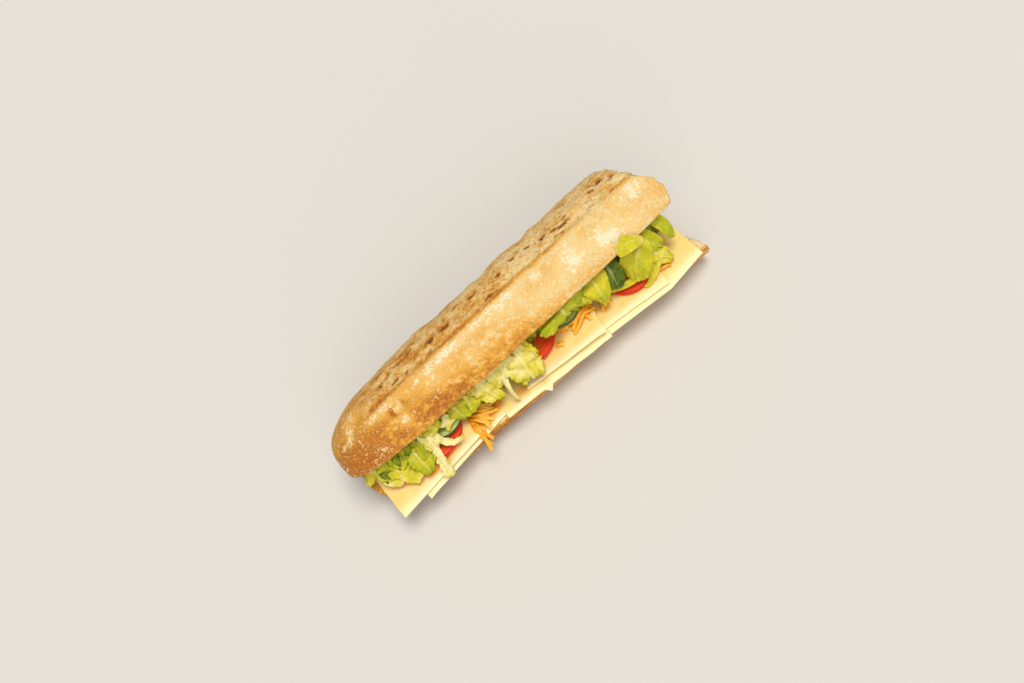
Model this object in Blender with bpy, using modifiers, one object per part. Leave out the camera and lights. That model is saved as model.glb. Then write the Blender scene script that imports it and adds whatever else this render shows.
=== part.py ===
"""Half baguette, opened along its front and filled with cheese, tomato, cucumber, carrot and lettuce.

X runs along the loaf, from its round end to its cut end. Y runs from the open front to the back edge,
where the two halves meet. Z is up, and the flat underside of the loaf stands on Z = 0.
"""

import math
from collections import namedtuple

import bmesh
import bpy
from mathutils import Matrix, Vector, noise

MM = 0.001
FIT_GAP = 0.35 * MM
MERGE_DISTANCE = 0.02 * MM

# The loaf before it is sliced
LOAF_HALF_WIDTH = 32 * MM
LOAF_CROWN = 32.5 * MM
LOAF_BELLY = 29 * MM
WAIST_HEIGHT = 23.7 * MM
KNIFE_HEIGHT = 24.5 * MM
WIDEST_X = -5 * MM
ROUND_END_LENGTH = 118 * MM
ROUND_END_EXPONENT = 3.4
FarEnd = namedtuple("FarEnd", "length exponent")
UPPER_FAR_END = FarEnd(136 * MM, 6)
LOWER_FAR_END = FarEnd(165 * MM, 10)
LOAF_SEGMENTS = 36
LOAF_RINGS = 42

# Its crust: a broad score along the top, with a lip where the front flap of crust ends
SCORE_BACK = math.radians(34)
SCORE_FRONT = math.radians(127)
SCORE_EDGE_SOFTNESS = math.radians(7)
SCORE_DEPTH = 1.4 * MM
SCORE_TIP_X = -98 * MM
SCORE_FADE = 18 * MM
CRUST_LUMP = 0.9 * MM
CRUST_LUMP_SIZE = 22 * MM
SCORE_LUMP = 1.1 * MM
SCORE_LUMP_SIZE = 11 * MM

# The slanting cut at the far end
END_CUT_X = 121.5 * MM
END_CUT_SLANT = math.radians(22)
END_CUT_LEAN_PER_M = 7.8
END_CUT_RIM_RECESS = 3.5 * MM
END_CUT_RIM_REACH = 4 * MM
END_CUT_ROUGHNESS = 1.6 * MM
END_CUT_GRAIN = 7 * MM
END_CUTTER_SIZE = 140 * MM
END_CUTTER_CELLS = 22
END_CUTTER_DEPTH = 90 * MM
KNIFE_BOX = 400 * MM

# How the halves lie
HINGE_Y = 31 * MM
HINGE_Z = KNIFE_HEIGHT + FIT_GAP
OPENING_ANGLE = math.radians(36.5)
LOWER_HALF_TURN = math.radians(-1.8)
LOWER_HALF_PIVOT_X = -20 * MM
LOWER_HALF_SHIFT = 2 * MM

# Cheese
CHEESE_THICKNESS = 2.0 * MM
CHEESE_WIDTH = 64 * MM
CHEESE_DROOP_PER_M = 38.0
CHEESE_DROOP_INSET = 3.5 * MM
CHEESE_COLUMNS = 7
CHEESE_ROWS = 8

# corner: its front left place in millimetres; turn and side_turn: degrees off X for the front, off Y for the
# sides; lift: above the lower half's cut face, and rise: gained towards the right; bow: how far its front
# reaches out past a straight edge, two thirds of the way along
CheeseSlice = namedtuple("CheeseSlice", "name corner turn side_turn width depth lift rise bow")
CHEESE_SLICES = (
    CheeseSlice("cheese_slice_1", (-116.2, -34.4), 3.7, -1.5, 64, 54, 3.9, 1.9, 0.0),
    CheeseSlice("cheese_slice_2", (-97.8, -35.2), 5.0, 4.0, 63, 50, 1.3, 0.0, 0.0),
    CheeseSlice("cheese_slice_3", (-33.0, -32.4), -4.0, 4.0, 74, 48, 1.3, 0.0, 0.0),
    CheeseSlice("cheese_slice_4", (-14.3, -28.6), -7.3, -11.0, 57, 44, 3.9, 4.1, 0.0),
    CheeseSlice("cheese_slice_5", (25.0, -31.2), -6.6, -5.0, 63, 48, 3.8, 0.2, 0.0),
    CheeseSlice("cheese_slice_6", (43.0, -36.4), -1.1, 4.0, 71, 50, 1.3, 0.0, 3.2),
)
BOW_PLACE = 0.62

# Round slices of tomato and cucumber: centre, radius, thickness, and how far they lean to the side and forward
RoundSlice = namedtuple("RoundSlice", "name centre radius thickness side_lean front_lean")
TOMATO_SLICES = (
    RoundSlice("tomato_slice_1", (-90.2, -6.6, 32.5), 19.5, 4.0, 2.0, 0.0),
    RoundSlice("tomato_slice_2", (-72.3, -8.8, 36.3), 19.0, 4.0, 10.0, 3.0),
    RoundSlice("tomato_slice_3", (5.0, -3.5, 35.2), 19.5, 4.0, -3.8, 2.0),
    RoundSlice("tomato_slice_4", (76.5, -11.0, 31.9), 20.0, 4.0, 0.0, 1.0),
)
CUCUMBER_SLICES = (
    RoundSlice("cucumber_slice_1", (-61.0, -6.5, 44.2), 15.5, 3.2, 0.0, 18.0),
    RoundSlice("cucumber_slice_2", (31.0, -4.6, 40.6), 15.0, 3.0, -6.0, 10.0),
)
ROUND_SLICE_SIDES = 24
RIND_ROUNDING = 0.32
ROUND_SLICE_UNEVENNESS = 0.025

# Carrot shreds: each bundle fans out from its root, shred by shred
SHRED_WIDTH = 2.4 * MM
SHRED_THICKNESS = 1.3 * MM
SHRED_PARTS = 4
CarrotBundle = namedtuple("CarrotBundle", "name root reach count first_angle last_angle arch droop")
CARROT_BUNDLES = (
    CarrotBundle("carrot_shreds_1", (-50.5, -13.5, 28.2), 18, 6, -72, -6, 2.2, 0.0),
    CarrotBundle("carrot_shreds_2", (46.0, -18.6, 35.0), 24, 3, 172, 184, 2.6, 1.8),
    CarrotBundle("carrot_shreds_3", (53.5, -16.0, 31.0), 9, 3, -120, -70, 1.0, 1.6),
    CarrotBundle("carrot_shreds_4", (88.2, -29.2, 28.8), 8, 1, -16, -16, 0.4, 0.0),
    CarrotBundle("carrot_shreds_5", (-51.6, -22.0, 29.4), 15, 2, -96, -86, 3.0, 9.5),
    CarrotBundle("carrot_bit_1", (15.6, -22.5, 32.6), 4.2, 1, -35, -35, 0.3, 0.0),
    CarrotBundle("carrot_bit_2", (38.6, -20.0, 34.5), 5.5, 1, -75, -75, 0.3, 0.0),
)

# Lettuce: a core of packed leaves under the upper crust, with the leaves that show fused to it
LEAF_THICKNESS = 0.9 * MM
LEAF_ROWS = 4
LEAF_COLUMNS = 4
LEAF_BLUNTING = 0.65
VIEW_OUTWARD = Vector((0.0, -0.42, 0.91))
CORE_FROM_X = -111 * MM
CORE_TO_X = 106 * MM
CORE_CENTRE_Y = -3.6 * MM
CORE_CENTRE_Z = 47 * MM
CORE_HALF_DEPTH = 10.8 * MM
CORE_HALF_HEIGHT = 15 * MM
CORE_FLOOR_Z = 38.6 * MM
CORE_CEILING_GAP = 0.8 * MM
CORE_LUMP = 2.2 * MM
CORE_LUMP_SIZE = 13 * MM
CORE_SEGMENTS = 12
CORE_RINGS = 24

# root, middle, tip: places in millimetres; widths: at those places; cup bends the sides; ruffle waves the rim
Leaf = namedtuple("Leaf", "root middle tip widths cup ruffle waves phase")
HEAP_LEAVES = (
    Leaf((-108.5, -5.0, 46.0), (-115.9, -8.0, 41.5), (-118.1, -9.7, 37.0), (5, 6, 4), 0.3, 1.0, 1.0, 0.2),
    Leaf((-80.0, -21.7, 43.0), (-87.9, -23.3, 38.5), (-95.3, -21.6, 36.8), (5, 6, 4), 0.1, 0.8, 1.0, 1.1),
    Leaf((-88.5, -9.5, 51.0), (-91.6, -13.4, 47.5), (-89.2, -17.4, 42.5), (6, 7.5, 6), 0.2, 0.8, 1.0, 2.0),
    Leaf((-79.7, -10.1, 52.0), (-78.9, -18.9, 45.5), (-83.1, -25.2, 38.5), (8, 10.5, 7), -0.2, 1.6, 1.5, 0.4),
    Leaf((-70.1, -12.0, 56.0), (-68.8, -15.3, 53.0), (-67.4, -18.9, 51.0), (10, 13, 10), 0.2, 1.6, 1.5, 2.6),
    Leaf((-72.3, -12.2, 54.0), (-76.0, -24.8, 43.0), (-80.1, -34.9, 27.0), (5, 3.6, 6), 0.0, 1.2, 2.0, 1.5),
    Leaf((-71.6, -13.4, 54.0), (-67.9, -23.9, 42.0), (-58.9, -26.7, 38.5), (4, 3.6, 4), 0.0, 1.0, 1.5, 0.7),
    Leaf((-42.6, -11.1, 54.0), (-43.5, -16.9, 48.0), (-45.7, -22.3, 42.0), (12, 15, 10), 0.1, 2.0, 2.0, 0.9),
    Leaf((-32.0, -11.5, 55.0), (-30.7, -18.8, 48.0), (-28.9, -24.8, 38.5), (14, 16, 9), 0.1, 2.2, 2.5, 0.0),
    Leaf((-22.8, -12.0, 55.0), (-22.4, -17.8, 50.0), (-24.0, -22.0, 43.0), (7, 9.5, 7), 0.1, 1.6, 1.5, 1.9),
    Leaf((-6.5, -11.0, 53.0), (-19.0, -21.9, 47.0), (-21.4, -29.7, 31.0), (4, 3.2, 3.2), 0.0, 0.8, 1.5, 2.2),
    Leaf((-5.4, -11.0, 53.5), (-4.8, -23.3, 48.5), (-5.7, -30.1, 38.5), (7, 19, 23), 0.1, 2.2, 2.5, 1.3),
    Leaf((31.0, -11.0, 53.5), (31.0, -18.2, 55.4), (33.0, -20.6, 50.0), (34, 38, 32), 0.0, 1.2, 2.5, 0.6),
    Leaf((54.1, -11.0, 53.5), (54.0, -22.0, 50.5), (52.2, -27.2, 39.5), (20, 15.5, 3.5), 0.1, 1.4, 1.5, 2.0),
    Leaf((66.1, -10.5, 52.0), (65.5, -19.7, 49.0), (63.2, -23.7, 43.0), (12, 13, 9), 0.1, 1.2, 1.5, 0.3),
)
SINGLE_LEAVES = (
    (
        "lettuce_leaf_1",
        (Leaf((-103.6, -7.8, 47), (-101.2, -14.2, 41), (-94.9, -18.9, 37.2), (10, 11, 6), 0.2, 0.8, 1.0, 0.5),),
    ),
    (
        "lettuce_leaf_2",
        (
            Leaf((90.3, -22.0, 60), (82.5, -21.3, 68.5), (73.8, -21.4, 66), (4, 10, 7), 0.15, 1.0, 1.0, 0.4),
            Leaf((89.5, -21.1, 60), (80.6, -25, 51.5), (74, -29.8, 39.5), (8, 19, 12), 0.15, 1.6, 1.5, 1.9),
            Leaf((76.0, -28.9, 41), (67.7, -27.8, 38.5), (57.2, -23.6, 39.3), (5, 4, 3), 0.0, 0.3, 1.0, 0.9),
        ),
    ),
    (
        "lettuce_leaf_3",
        (Leaf((102.6, -12.5, 54), (105.8, -19.6, 50.5), (106.1, -24.7, 41), (6, 8, 5), 0.2, 1.2, 1.0, 2.4),),
    ),
    (
        "lettuce_leaf_4",
        (
            Leaf((90.2, -14.5, 54), (93.8, -21.9, 49.5), (98.2, -25, 41), (9, 12.5, 6), 0.1, 1.4, 1.5, 1.7),
            Leaf((90.8, -20.5, 49), (93.2, -26, 40), (98.9, -29.5, 31.5), (8, 11, 7), 0.1, 1.5, 2.0, 0.8),
            Leaf((93, -26.5, 39.5), (84, -30.3, 34), (75.6, -32.2, 31.2), (5, 5, 3.2), 0.0, 0.3, 1.0, 0.8),
        ),
    ),
)

# Colours as linear RGB, with roughness
CRUST_FINISH = ((0.62, 0.34, 0.12), 0.75)
CHEESE_FINISH = ((0.86, 0.62, 0.25), 0.45)
TOMATO_FINISH = ((0.62, 0.05, 0.02), 0.25)
CUCUMBER_FINISH = ((0.30, 0.50, 0.10), 0.35)
CARROT_FINISH = ((0.85, 0.28, 0.04), 0.45)
LETTUCE_FINISH = ((0.42, 0.58, 0.08), 0.45)


def clear_scene():
    """Removes what Blender starts with."""
    for obj in list(bpy.data.objects):
        bpy.data.objects.remove(obj)


def new_collection(name, hidden=False):
    """A collection in the scene. A hidden one holds cutters and is left out of renders."""
    collection = bpy.data.collections.new(name)
    bpy.context.scene.collection.children.link(collection)
    collection.hide_render = hidden
    return collection


def finish_material(name, finish):
    """A Principled material with a plain colour and roughness."""
    colour, roughness = finish
    material = bpy.data.materials.new(name)
    material.use_nodes = True
    shader = material.node_tree.nodes["Principled BSDF"]
    shader.inputs["Base Color"].default_value = (*colour, 1)
    shader.inputs["Roughness"].default_value = roughness
    shader.inputs["Metallic"].default_value = 0
    return material


def object_from(bm, name, collection, material=None):
    """Makes the edited mesh an object of the collection, with its faces pointing out."""
    bmesh.ops.recalc_face_normals(bm, faces=bm.faces)
    if bm.calc_volume(signed=True) < 0:
        bmesh.ops.reverse_faces(bm, faces=bm.faces)
    mesh = bpy.data.meshes.new(name)
    bm.to_mesh(mesh)
    bm.free()
    obj = bpy.data.objects.new(name, mesh)
    collection.objects.link(obj)
    if material:
        mesh.materials.append(material)
    return obj


def empty_at(name, location, rotation):
    """An empty that carries a half of the loaf."""
    empty = bpy.data.objects.new(name, None)
    empty.location = location
    empty.rotation_euler = rotation
    bpy.context.scene.collection.objects.link(empty)
    return empty


def lump(name, segments, rings, place, collection, material=None):
    """A closed body: a sphere whose points are moved by place(along, around).

    along runs from 0 at one pole to 1 at the other, and around is the angle about the line between them.
    """
    bm = bmesh.new()
    bmesh.ops.create_uvsphere(bm, u_segments=segments, v_segments=rings, radius=1)
    for vertex in bm.verts:
        along = math.acos(max(-1.0, min(1.0, vertex.co.z))) / math.pi
        around = math.atan2(vertex.co.y, vertex.co.x)
        vertex.co = place(along, around)
    return object_from(bm, name, collection, material)


def sheet(name, columns, rows, place, thickness, collection, material=None):
    """A thin solid: a grid laid in space by place(across, along), both from 0 to 1, then thickened."""
    bm = bmesh.new()
    bmesh.ops.create_grid(bm, x_segments=columns, y_segments=rows, size=0.5)
    bmesh.ops.triangulate(bm, faces=bm.faces)
    for vertex in bm.verts:
        vertex.co = place(vertex.co.x + 0.5, vertex.co.y + 0.5)
    obj = object_from(bm, name, collection, material)
    skin = obj.modifiers.new("thickness", "SOLIDIFY")
    skin.thickness = thickness
    skin.offset = 0
    return obj


def applied(obj):
    """Replaces the object's mesh by what its modifiers make of it, in world space."""
    bpy.context.view_layer.update()
    graph = bpy.context.evaluated_depsgraph_get()
    mesh = bpy.data.meshes.new_from_object(obj.evaluated_get(graph))
    mesh.transform(obj.matrix_world)
    obj.modifiers.clear()
    obj.data = mesh
    obj.parent = None
    obj.matrix_world = Matrix.Identity(4)
    return obj


def keep_largest_piece(obj):
    """Drops the loose scraps that a cut leaves."""
    bm = bmesh.new()
    bm.from_mesh(obj.data)
    unseen = set(bm.verts)
    pieces = []
    while unseen:
        piece = set()
        front = [unseen.pop()]
        while front:
            vertex = front.pop()
            piece.add(vertex)
            for edge in vertex.link_edges:
                other = edge.other_vert(vertex)
                if other in unseen:
                    unseen.remove(other)
                    front.append(other)
        pieces.append(piece)
    largest = max(pieces, key=len)
    bmesh.ops.delete(bm, geom=[v for v in bm.verts if v not in largest], context="VERTS")
    bm.to_mesh(obj.data)
    bm.free()


def tidy(obj):
    """Merges the points that a cut leaves side by side, as far as the body stays closed, and splits its faces."""
    for distance in (MERGE_DISTANCE, MERGE_DISTANCE / 10, MERGE_DISTANCE / 100):
        bm = bmesh.new()
        bm.from_mesh(obj.data)
        bmesh.ops.remove_doubles(bm, verts=bm.verts, dist=distance)
        bmesh.ops.dissolve_degenerate(bm, edges=bm.edges, dist=distance)
        bmesh.ops.triangulate(bm, faces=bm.faces)
        closed = all(edge.is_manifold for edge in bm.edges)
        if closed:
            bm.to_mesh(obj.data)
        bm.free()
        if closed:
            return


def fused(pieces):
    """Joins the pieces into the first of them by one Boolean, and removes the others."""
    whole, *others = pieces
    if not others:
        return whole
    group = bpy.data.collections.new(whole.name + "_joined")
    for other in others:
        group.objects.link(other)
    union = whole.modifiers.new("union", "BOOLEAN")
    union.operation = "UNION"
    union.operand_type = "COLLECTION"
    union.collection = group
    union.solver = "MANIFOLD"
    applied(whole)
    for other in others:
        bpy.data.objects.remove(other)
    bpy.data.collections.remove(group)
    tidy(whole)
    return whole


def cut_clear(obj, neighbours):
    """Takes out of the object what lies in its neighbours, and the fitting gap round them."""
    for neighbour in neighbours:
        bm = bmesh.new()
        bm.from_mesh(neighbour.data)
        bm.normal_update()
        grown = [vertex.co + vertex.normal * FIT_GAP for vertex in bm.verts]
        for vertex, place in zip(bm.verts, grown):
            vertex.co = place
        cutter = object_from(bm, "grown_" + neighbour.name, bpy.context.scene.collection)
        cut = obj.modifiers.new("clear", "BOOLEAN")
        cut.operation = "DIFFERENCE"
        cut.object = cutter
        cut.solver = "MANIFOLD"
        applied(obj)
        bpy.data.objects.remove(cutter)
        tidy(obj)
    keep_largest_piece(obj)


def smooth_step(value, start, end):
    """0 before start, 1 after end, and a smooth rise between."""
    share = max(0.0, min(1.0, (value - start) / (end - start)))
    return share * share * (3 - 2 * share)


def loaf_profile(along, far_end):
    """Place along X and share of the full width there, for along from 0 to 1."""
    towards_tip = 1 - 2 * along
    if towards_tip >= 0:
        reach = math.sin(towards_tip * math.pi / 2)
        share = max(0.0, 1 - reach**ROUND_END_EXPONENT) ** (1 / ROUND_END_EXPONENT)
        return WIDEST_X - ROUND_END_LENGTH * reach, share
    reach = -towards_tip
    share = max(0.0, 1 - reach**far_end.exponent) ** (1 / far_end.exponent)
    return WIDEST_X + far_end.length * reach, share


def crust_relief(x, around):
    """How far the crust stands out: broad lumps everywhere, and the rough, sunken score on top."""
    place = Vector((x, math.cos(around) * LOAF_HALF_WIDTH, math.sin(around) * LOAF_CROWN))
    relief = CRUST_LUMP * noise.noise(place / CRUST_LUMP_SIZE)
    if around <= 0:
        return relief * 0.5
    in_score = smooth_step(around, SCORE_BACK, SCORE_BACK + SCORE_EDGE_SOFTNESS)
    in_score *= 1 - smooth_step(around, SCORE_FRONT - SCORE_EDGE_SOFTNESS, SCORE_FRONT)
    in_score *= smooth_step(x, SCORE_TIP_X, SCORE_TIP_X + SCORE_FADE)
    rough = SCORE_LUMP * noise.noise(place / SCORE_LUMP_SIZE)
    return relief + in_score * (rough - SCORE_DEPTH)


def loaf_place(far_end):
    """The function that lays the whole loaf. around is 0 at the back, a quarter turn on top, a half in front."""

    def place(along, around):
        x, share = loaf_profile(along, far_end)
        relief = crust_relief(x, around) * min(1.0, share * 2)
        rise = math.sin(around)
        y = (LOAF_HALF_WIDTH + relief) * share * math.cos(around)
        if rise >= 0:
            return Vector((x, y, WAIST_HEIGHT + (LOAF_CROWN + relief) * share * rise))
        depth = LOAF_BELLY * share * abs(rise) ** 0.85
        return Vector((x, y, max(0.0, WAIST_HEIGHT - depth)))

    return place


def knife_box(name, above, collection):
    """The box that takes away what lies above or below the knife's cut."""
    bm = bmesh.new()
    bmesh.ops.create_cube(bm, size=KNIFE_BOX)
    obj = object_from(bm, name, collection)
    obj.location.z = KNIFE_HEIGHT + (KNIFE_BOX / 2 if above else -KNIFE_BOX / 2)
    return obj


def end_cutter(name, collection):
    """The block that takes off the far end, with a rough slanting face."""
    bm = bmesh.new()
    bmesh.ops.create_grid(bm, x_segments=END_CUTTER_CELLS, y_segments=END_CUTTER_CELLS, size=END_CUTTER_SIZE / 2)
    slant = math.tan(END_CUT_SLANT)
    for vertex in bm.verts:
        y, z = vertex.co.x, vertex.co.y
        # The cut face leans back with height as well as towards the back of the loaf, and its rim is set in
        height = max(0.0, z)
        x = END_CUT_X - slant * (y + LOAF_HALF_WIDTH) - END_CUT_LEAN_PER_M * height**2
        x -= END_CUT_RIM_RECESS * math.exp(-height / END_CUT_RIM_REACH)
        rough = noise.noise(Vector((y, z, 0)) / END_CUT_GRAIN) * END_CUT_ROUGHNESS
        vertex.co = Vector((x + rough, y, KNIFE_HEIGHT + z))
    made = bmesh.ops.extrude_face_region(bm, geom=bm.faces[:])
    moved = [item for item in made["geom"] if isinstance(item, bmesh.types.BMVert)]
    bmesh.ops.translate(bm, verts=moved, vec=(END_CUTTER_DEPTH, 0, 0))
    bmesh.ops.recalc_face_normals(bm, faces=bm.faces)
    return object_from(bm, name, collection)


def bread_half(name, upper, carrier, parts, cutters, material):
    """One half of the sliced loaf, on the empty that carries it."""
    place = loaf_place(UPPER_FAR_END if upper else LOWER_FAR_END)
    half = lump(name, LOAF_SEGMENTS, LOAF_RINGS, place, parts, material)
    for tool in (knife_box(name + "_knife", not upper, cutters), end_cutter(name + "_end", cutters)):
        tool.hide_render = True
        tool.display_type = "WIRE"
        cut = half.modifiers.new(tool.name, "BOOLEAN")
        cut.operation = "DIFFERENCE"
        cut.object = tool
        tool.parent = carrier
    half.parent = carrier
    applied(half)
    tidy(half)
    return half


def build_bread(parts, cutters):
    """The lower half lies flat, and the upper half is tipped open about the back edge."""
    crust = finish_material("baked_crust", CRUST_FINISH)
    lower_place = Matrix.Translation((LOWER_HALF_PIVOT_X, 0, 0)) @ Matrix.Rotation(LOWER_HALF_TURN, 4, "Z")
    lower_place = lower_place @ Matrix.Translation((LOWER_HALF_SHIFT - LOWER_HALF_PIVOT_X, 0, 0))
    lower_carrier = empty_at("lower_half", lower_place.translation, lower_place.to_euler())
    tip = Matrix.Translation((0, HINGE_Y, HINGE_Z)) @ Matrix.Rotation(-OPENING_ANGLE, 4, "X")
    tip = tip @ Matrix.Translation((0, -HINGE_Y, -KNIFE_HEIGHT))
    upper_carrier = empty_at("upper_half", tip.translation, tip.to_euler())
    lower = bread_half("bread_bottom", False, lower_carrier, parts, cutters, crust)
    upper = bread_half("bread_top", True, upper_carrier, parts, cutters, crust)
    return lower, upper


def rim_y(x):
    """The straight front rim of the lower half, which is turned a little about its pivot."""
    return -LOAF_HALF_WIDTH + math.tan(LOWER_HALF_TURN) * (x - LOWER_HALF_PIVOT_X)


def cheese_place(piece):
    """The function that lays a slice: turned in plan, tilted along X, and drooping past the front rim."""
    front = Matrix.Rotation(math.radians(piece.turn), 2) @ Vector((piece.width * MM, 0))
    side = Matrix.Rotation(math.radians(piece.side_turn), 2) @ Vector((0, piece.depth * MM))

    def place(across, along):
        flat = Vector(piece.corner) * MM + front * across + side * along
        bow = min(across / BOW_PLACE, (1 - across) / (1 - BOW_PLACE)) * (1 - along)
        flat.y -= piece.bow * MM * bow
        overhang = max(0.0, rim_y(flat.x) + CHEESE_DROOP_INSET - flat.y)
        z = KNIFE_HEIGHT + (piece.lift + piece.rise * across) * MM - CHEESE_DROOP_PER_M * overhang**2
        return Vector((flat.x, flat.y, z))

    return place


def build_cheese(parts):
    """Thin overlapping slices on the lower half."""
    material = finish_material("cheese", CHEESE_FINISH)
    slices = []
    for piece in CHEESE_SLICES:
        obj = sheet(
            piece.name, CHEESE_COLUMNS, CHEESE_ROWS, cheese_place(piece), CHEESE_THICKNESS, parts, material
        )
        slices.append(applied(obj))
    return slices


def round_slice(piece, material, parts):
    """A tomato or cucumber slice: a short cylinder with a rounded rind, slightly uneven in outline."""
    radius, thickness = piece.radius * MM, piece.thickness * MM
    bm = bmesh.new()
    bmesh.ops.create_cone(
        bm, cap_ends=True, segments=ROUND_SLICE_SIDES, radius1=radius, radius2=radius, depth=thickness
    )
    for vertex in bm.verts:
        angle = math.atan2(vertex.co.y, vertex.co.x)
        swell = 1 + ROUND_SLICE_UNEVENNESS * math.sin(3 * angle + piece.centre[0])
        vertex.co.x *= swell
        vertex.co.y *= swell
    rim = [edge for edge in bm.edges if abs(edge.verts[0].co.z - edge.verts[1].co.z) < thickness / 2]
    bmesh.ops.bevel(bm, geom=rim, offset=thickness * RIND_ROUNDING, segments=2, profile=0.5, affect="EDGES")
    obj = object_from(bm, piece.name, parts, material)
    obj.location = Vector(piece.centre) * MM
    obj.rotation_euler = (math.radians(piece.front_lean), math.radians(piece.side_lean), 0)
    return applied(obj)


def carrot_bundle(bundle, parts, material):
    """Shreds that fan out from one root, made one solid."""
    root = Vector(bundle.root) * MM
    shreds = []
    for number in range(bundle.count):
        share = number / max(1, bundle.count - 1)
        angle = math.radians(bundle.first_angle + (bundle.last_angle - bundle.first_angle) * share)
        ahead = Vector((math.cos(angle), math.sin(angle), 0))
        aside = Vector((-ahead.y, ahead.x, 0))
        reach = bundle.reach * MM * (1 + 0.12 * math.sin(5 * number))
        lift = 0.35 * MM * (number % 2)

        def place(across, along):
            rise = bundle.arch * MM * math.sin(math.pi * along) - bundle.droop * MM * along**2
            curl = 0.12 * reach * math.sin(math.pi * along + number)
            side = (across - 0.5) * SHRED_WIDTH * (1.15 - 0.4 * along) + curl
            return root + ahead * reach * along + aside * side + Vector((0, 0, rise + lift))

        shreds.append(applied(sheet(bundle.name, 1, SHRED_PARTS, place, SHRED_THICKNESS, parts, material)))
    return fused(shreds)


def leaf_place(leaf):
    """The function that lays a leaf: across and along run from 0 to 1, from root to tip."""
    root, middle, tip = (Vector(place) * MM for place in (leaf.root, leaf.middle, leaf.tip))
    pull = middle * 2 - (root + tip) / 2
    side = (tip - root).cross(VIEW_OUTWARD).normalized()

    def place(across, along):
        side_share = 2 * across - 1
        centre = root * (1 - along) ** 2 + pull * 2 * along * (1 - along) + tip * along**2
        tangent = ((pull - root) * (1 - along) + (tip - pull) * along).normalized()
        normal = side.cross(tangent).normalized()
        half_width = leaf.widths[0] * (1 - along) * (1 - 2 * along) + leaf.widths[2] * along * (2 * along - 1)
        half_width = (half_width + leaf.widths[1] * 4 * along * (1 - along)) * MM / 2
        blunt = math.sqrt(1 - LEAF_BLUNTING * max(0.0, (along - 0.6) / 0.4) ** 2)
        wave = math.sin(2 * math.pi * leaf.waves * along + leaf.phase + 1.7 * side_share)
        fringe = math.sin(2 * math.pi * leaf.waves * side_share + leaf.phase) * along
        rise = leaf.ruffle * MM * (abs(side_share) * wave + 0.7 * fringe)
        rise -= leaf.cup * half_width * side_share**2
        return centre + side * half_width * blunt * side_share + normal * rise

    return place


def leaf_solid(name, leaf, parts, material):
    """One thin wavy leaf."""
    made = sheet(name, LEAF_COLUMNS, LEAF_ROWS, leaf_place(leaf), LEAF_THICKNESS, parts, material)
    return applied(made)


def ceiling_z(y):
    """Height of the upper half's cut face over a place in depth."""
    return HINGE_Z + (HINGE_Y - y) * math.tan(OPENING_ANGLE)


def core_point(along, around):
    """A point of the packed core, which fills the wedge under the upper half."""
    x = CORE_FROM_X + (CORE_TO_X - CORE_FROM_X) * along
    share = min(1.0, 3.2 * math.sqrt(along * (1 - along))) if 0 < along < 1 else 0.0
    place = Vector((x, math.cos(around) * CORE_HALF_DEPTH, math.sin(around) * CORE_HALF_HEIGHT))
    lumpy = share * CORE_LUMP * noise.noise(place / CORE_LUMP_SIZE)
    y = CORE_CENTRE_Y + (CORE_HALF_DEPTH * share + lumpy) * math.cos(around)
    z = CORE_CENTRE_Z + (CORE_HALF_HEIGHT * share + lumpy) * math.sin(around)
    z = max(CORE_FLOOR_Z + 0.5 * abs(lumpy), z)
    return Vector((x, y, min(z, ceiling_z(y) - CORE_CEILING_GAP)))


def build_lettuce(parts, material, others):
    """The single leaves first, then the heap, each cut clear of what it lies on."""
    singles = []
    for name, lobes in SINGLE_LEAVES:
        whole = fused([leaf_solid(name, lobe, parts, material) for lobe in lobes])
        cut_clear(whole, others + singles)
        singles.append(whole)
    core = lump("lettuce_heap", CORE_SEGMENTS, CORE_RINGS, core_point, parts, material)
    leaves = [leaf_solid(f"heap_leaf_{n}", leaf, parts, material) for n, leaf in enumerate(HEAP_LEAVES)]
    heap = fused([core, *leaves])
    cut_clear(heap, others + singles)
    return [heap, *singles]


def remove_tools(cutters):
    """Takes away the cutters and the empties, once every piece is a plain mesh."""
    for obj in list(cutters.objects):
        bpy.data.objects.remove(obj)
    for obj in [o for o in bpy.data.objects if o.type == "EMPTY"]:
        bpy.data.objects.remove(obj)


def main():
    """Builds the sandwich from the bread up."""
    clear_scene()
    parts = new_collection("cheese_sandwich")
    cutters = new_collection("cutters", hidden=True)
    lower, upper = build_bread(parts, cutters)
    cut_clear(upper, [lower])
    pieces = [lower, upper]
    for cheese in build_cheese(parts):
        cut_clear(cheese, pieces)
        pieces.append(cheese)
    tomato = finish_material("tomato", TOMATO_FINISH)
    cucumber = finish_material("cucumber", CUCUMBER_FINISH)
    for group, material in ((TOMATO_SLICES, tomato), (CUCUMBER_SLICES, cucumber)):
        for piece in group:
            obj = round_slice(piece, material, parts)
            cut_clear(obj, pieces)
            pieces.append(obj)
    carrot = finish_material("carrot", CARROT_FINISH)
    for bundle in CARROT_BUNDLES:
        obj = carrot_bundle(bundle, parts, carrot)
        cut_clear(obj, pieces)
        pieces.append(obj)
    build_lettuce(parts, finish_material("lettuce", LETTUCE_FINISH), pieces)
    remove_tools(cutters)


main()
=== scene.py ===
"""Looks of the cheese sandwich: baked crust, crumb, cheese, tomato, cucumber, carrot and lettuce.

Lengths are in metres, and tables of places in millimetres. X runs from the round end of the loaf to its cut
end, -Y is the open front, and Z is up.
"""

import math
from collections import namedtuple

import bmesh
import bpy
import numpy as np
from bpy.props import FloatProperty, FloatVectorProperty, IntProperty, PointerProperty
from bpy.types import Operator, Panel, PropertyGroup
from mathutils import Matrix, Vector, noise


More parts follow.
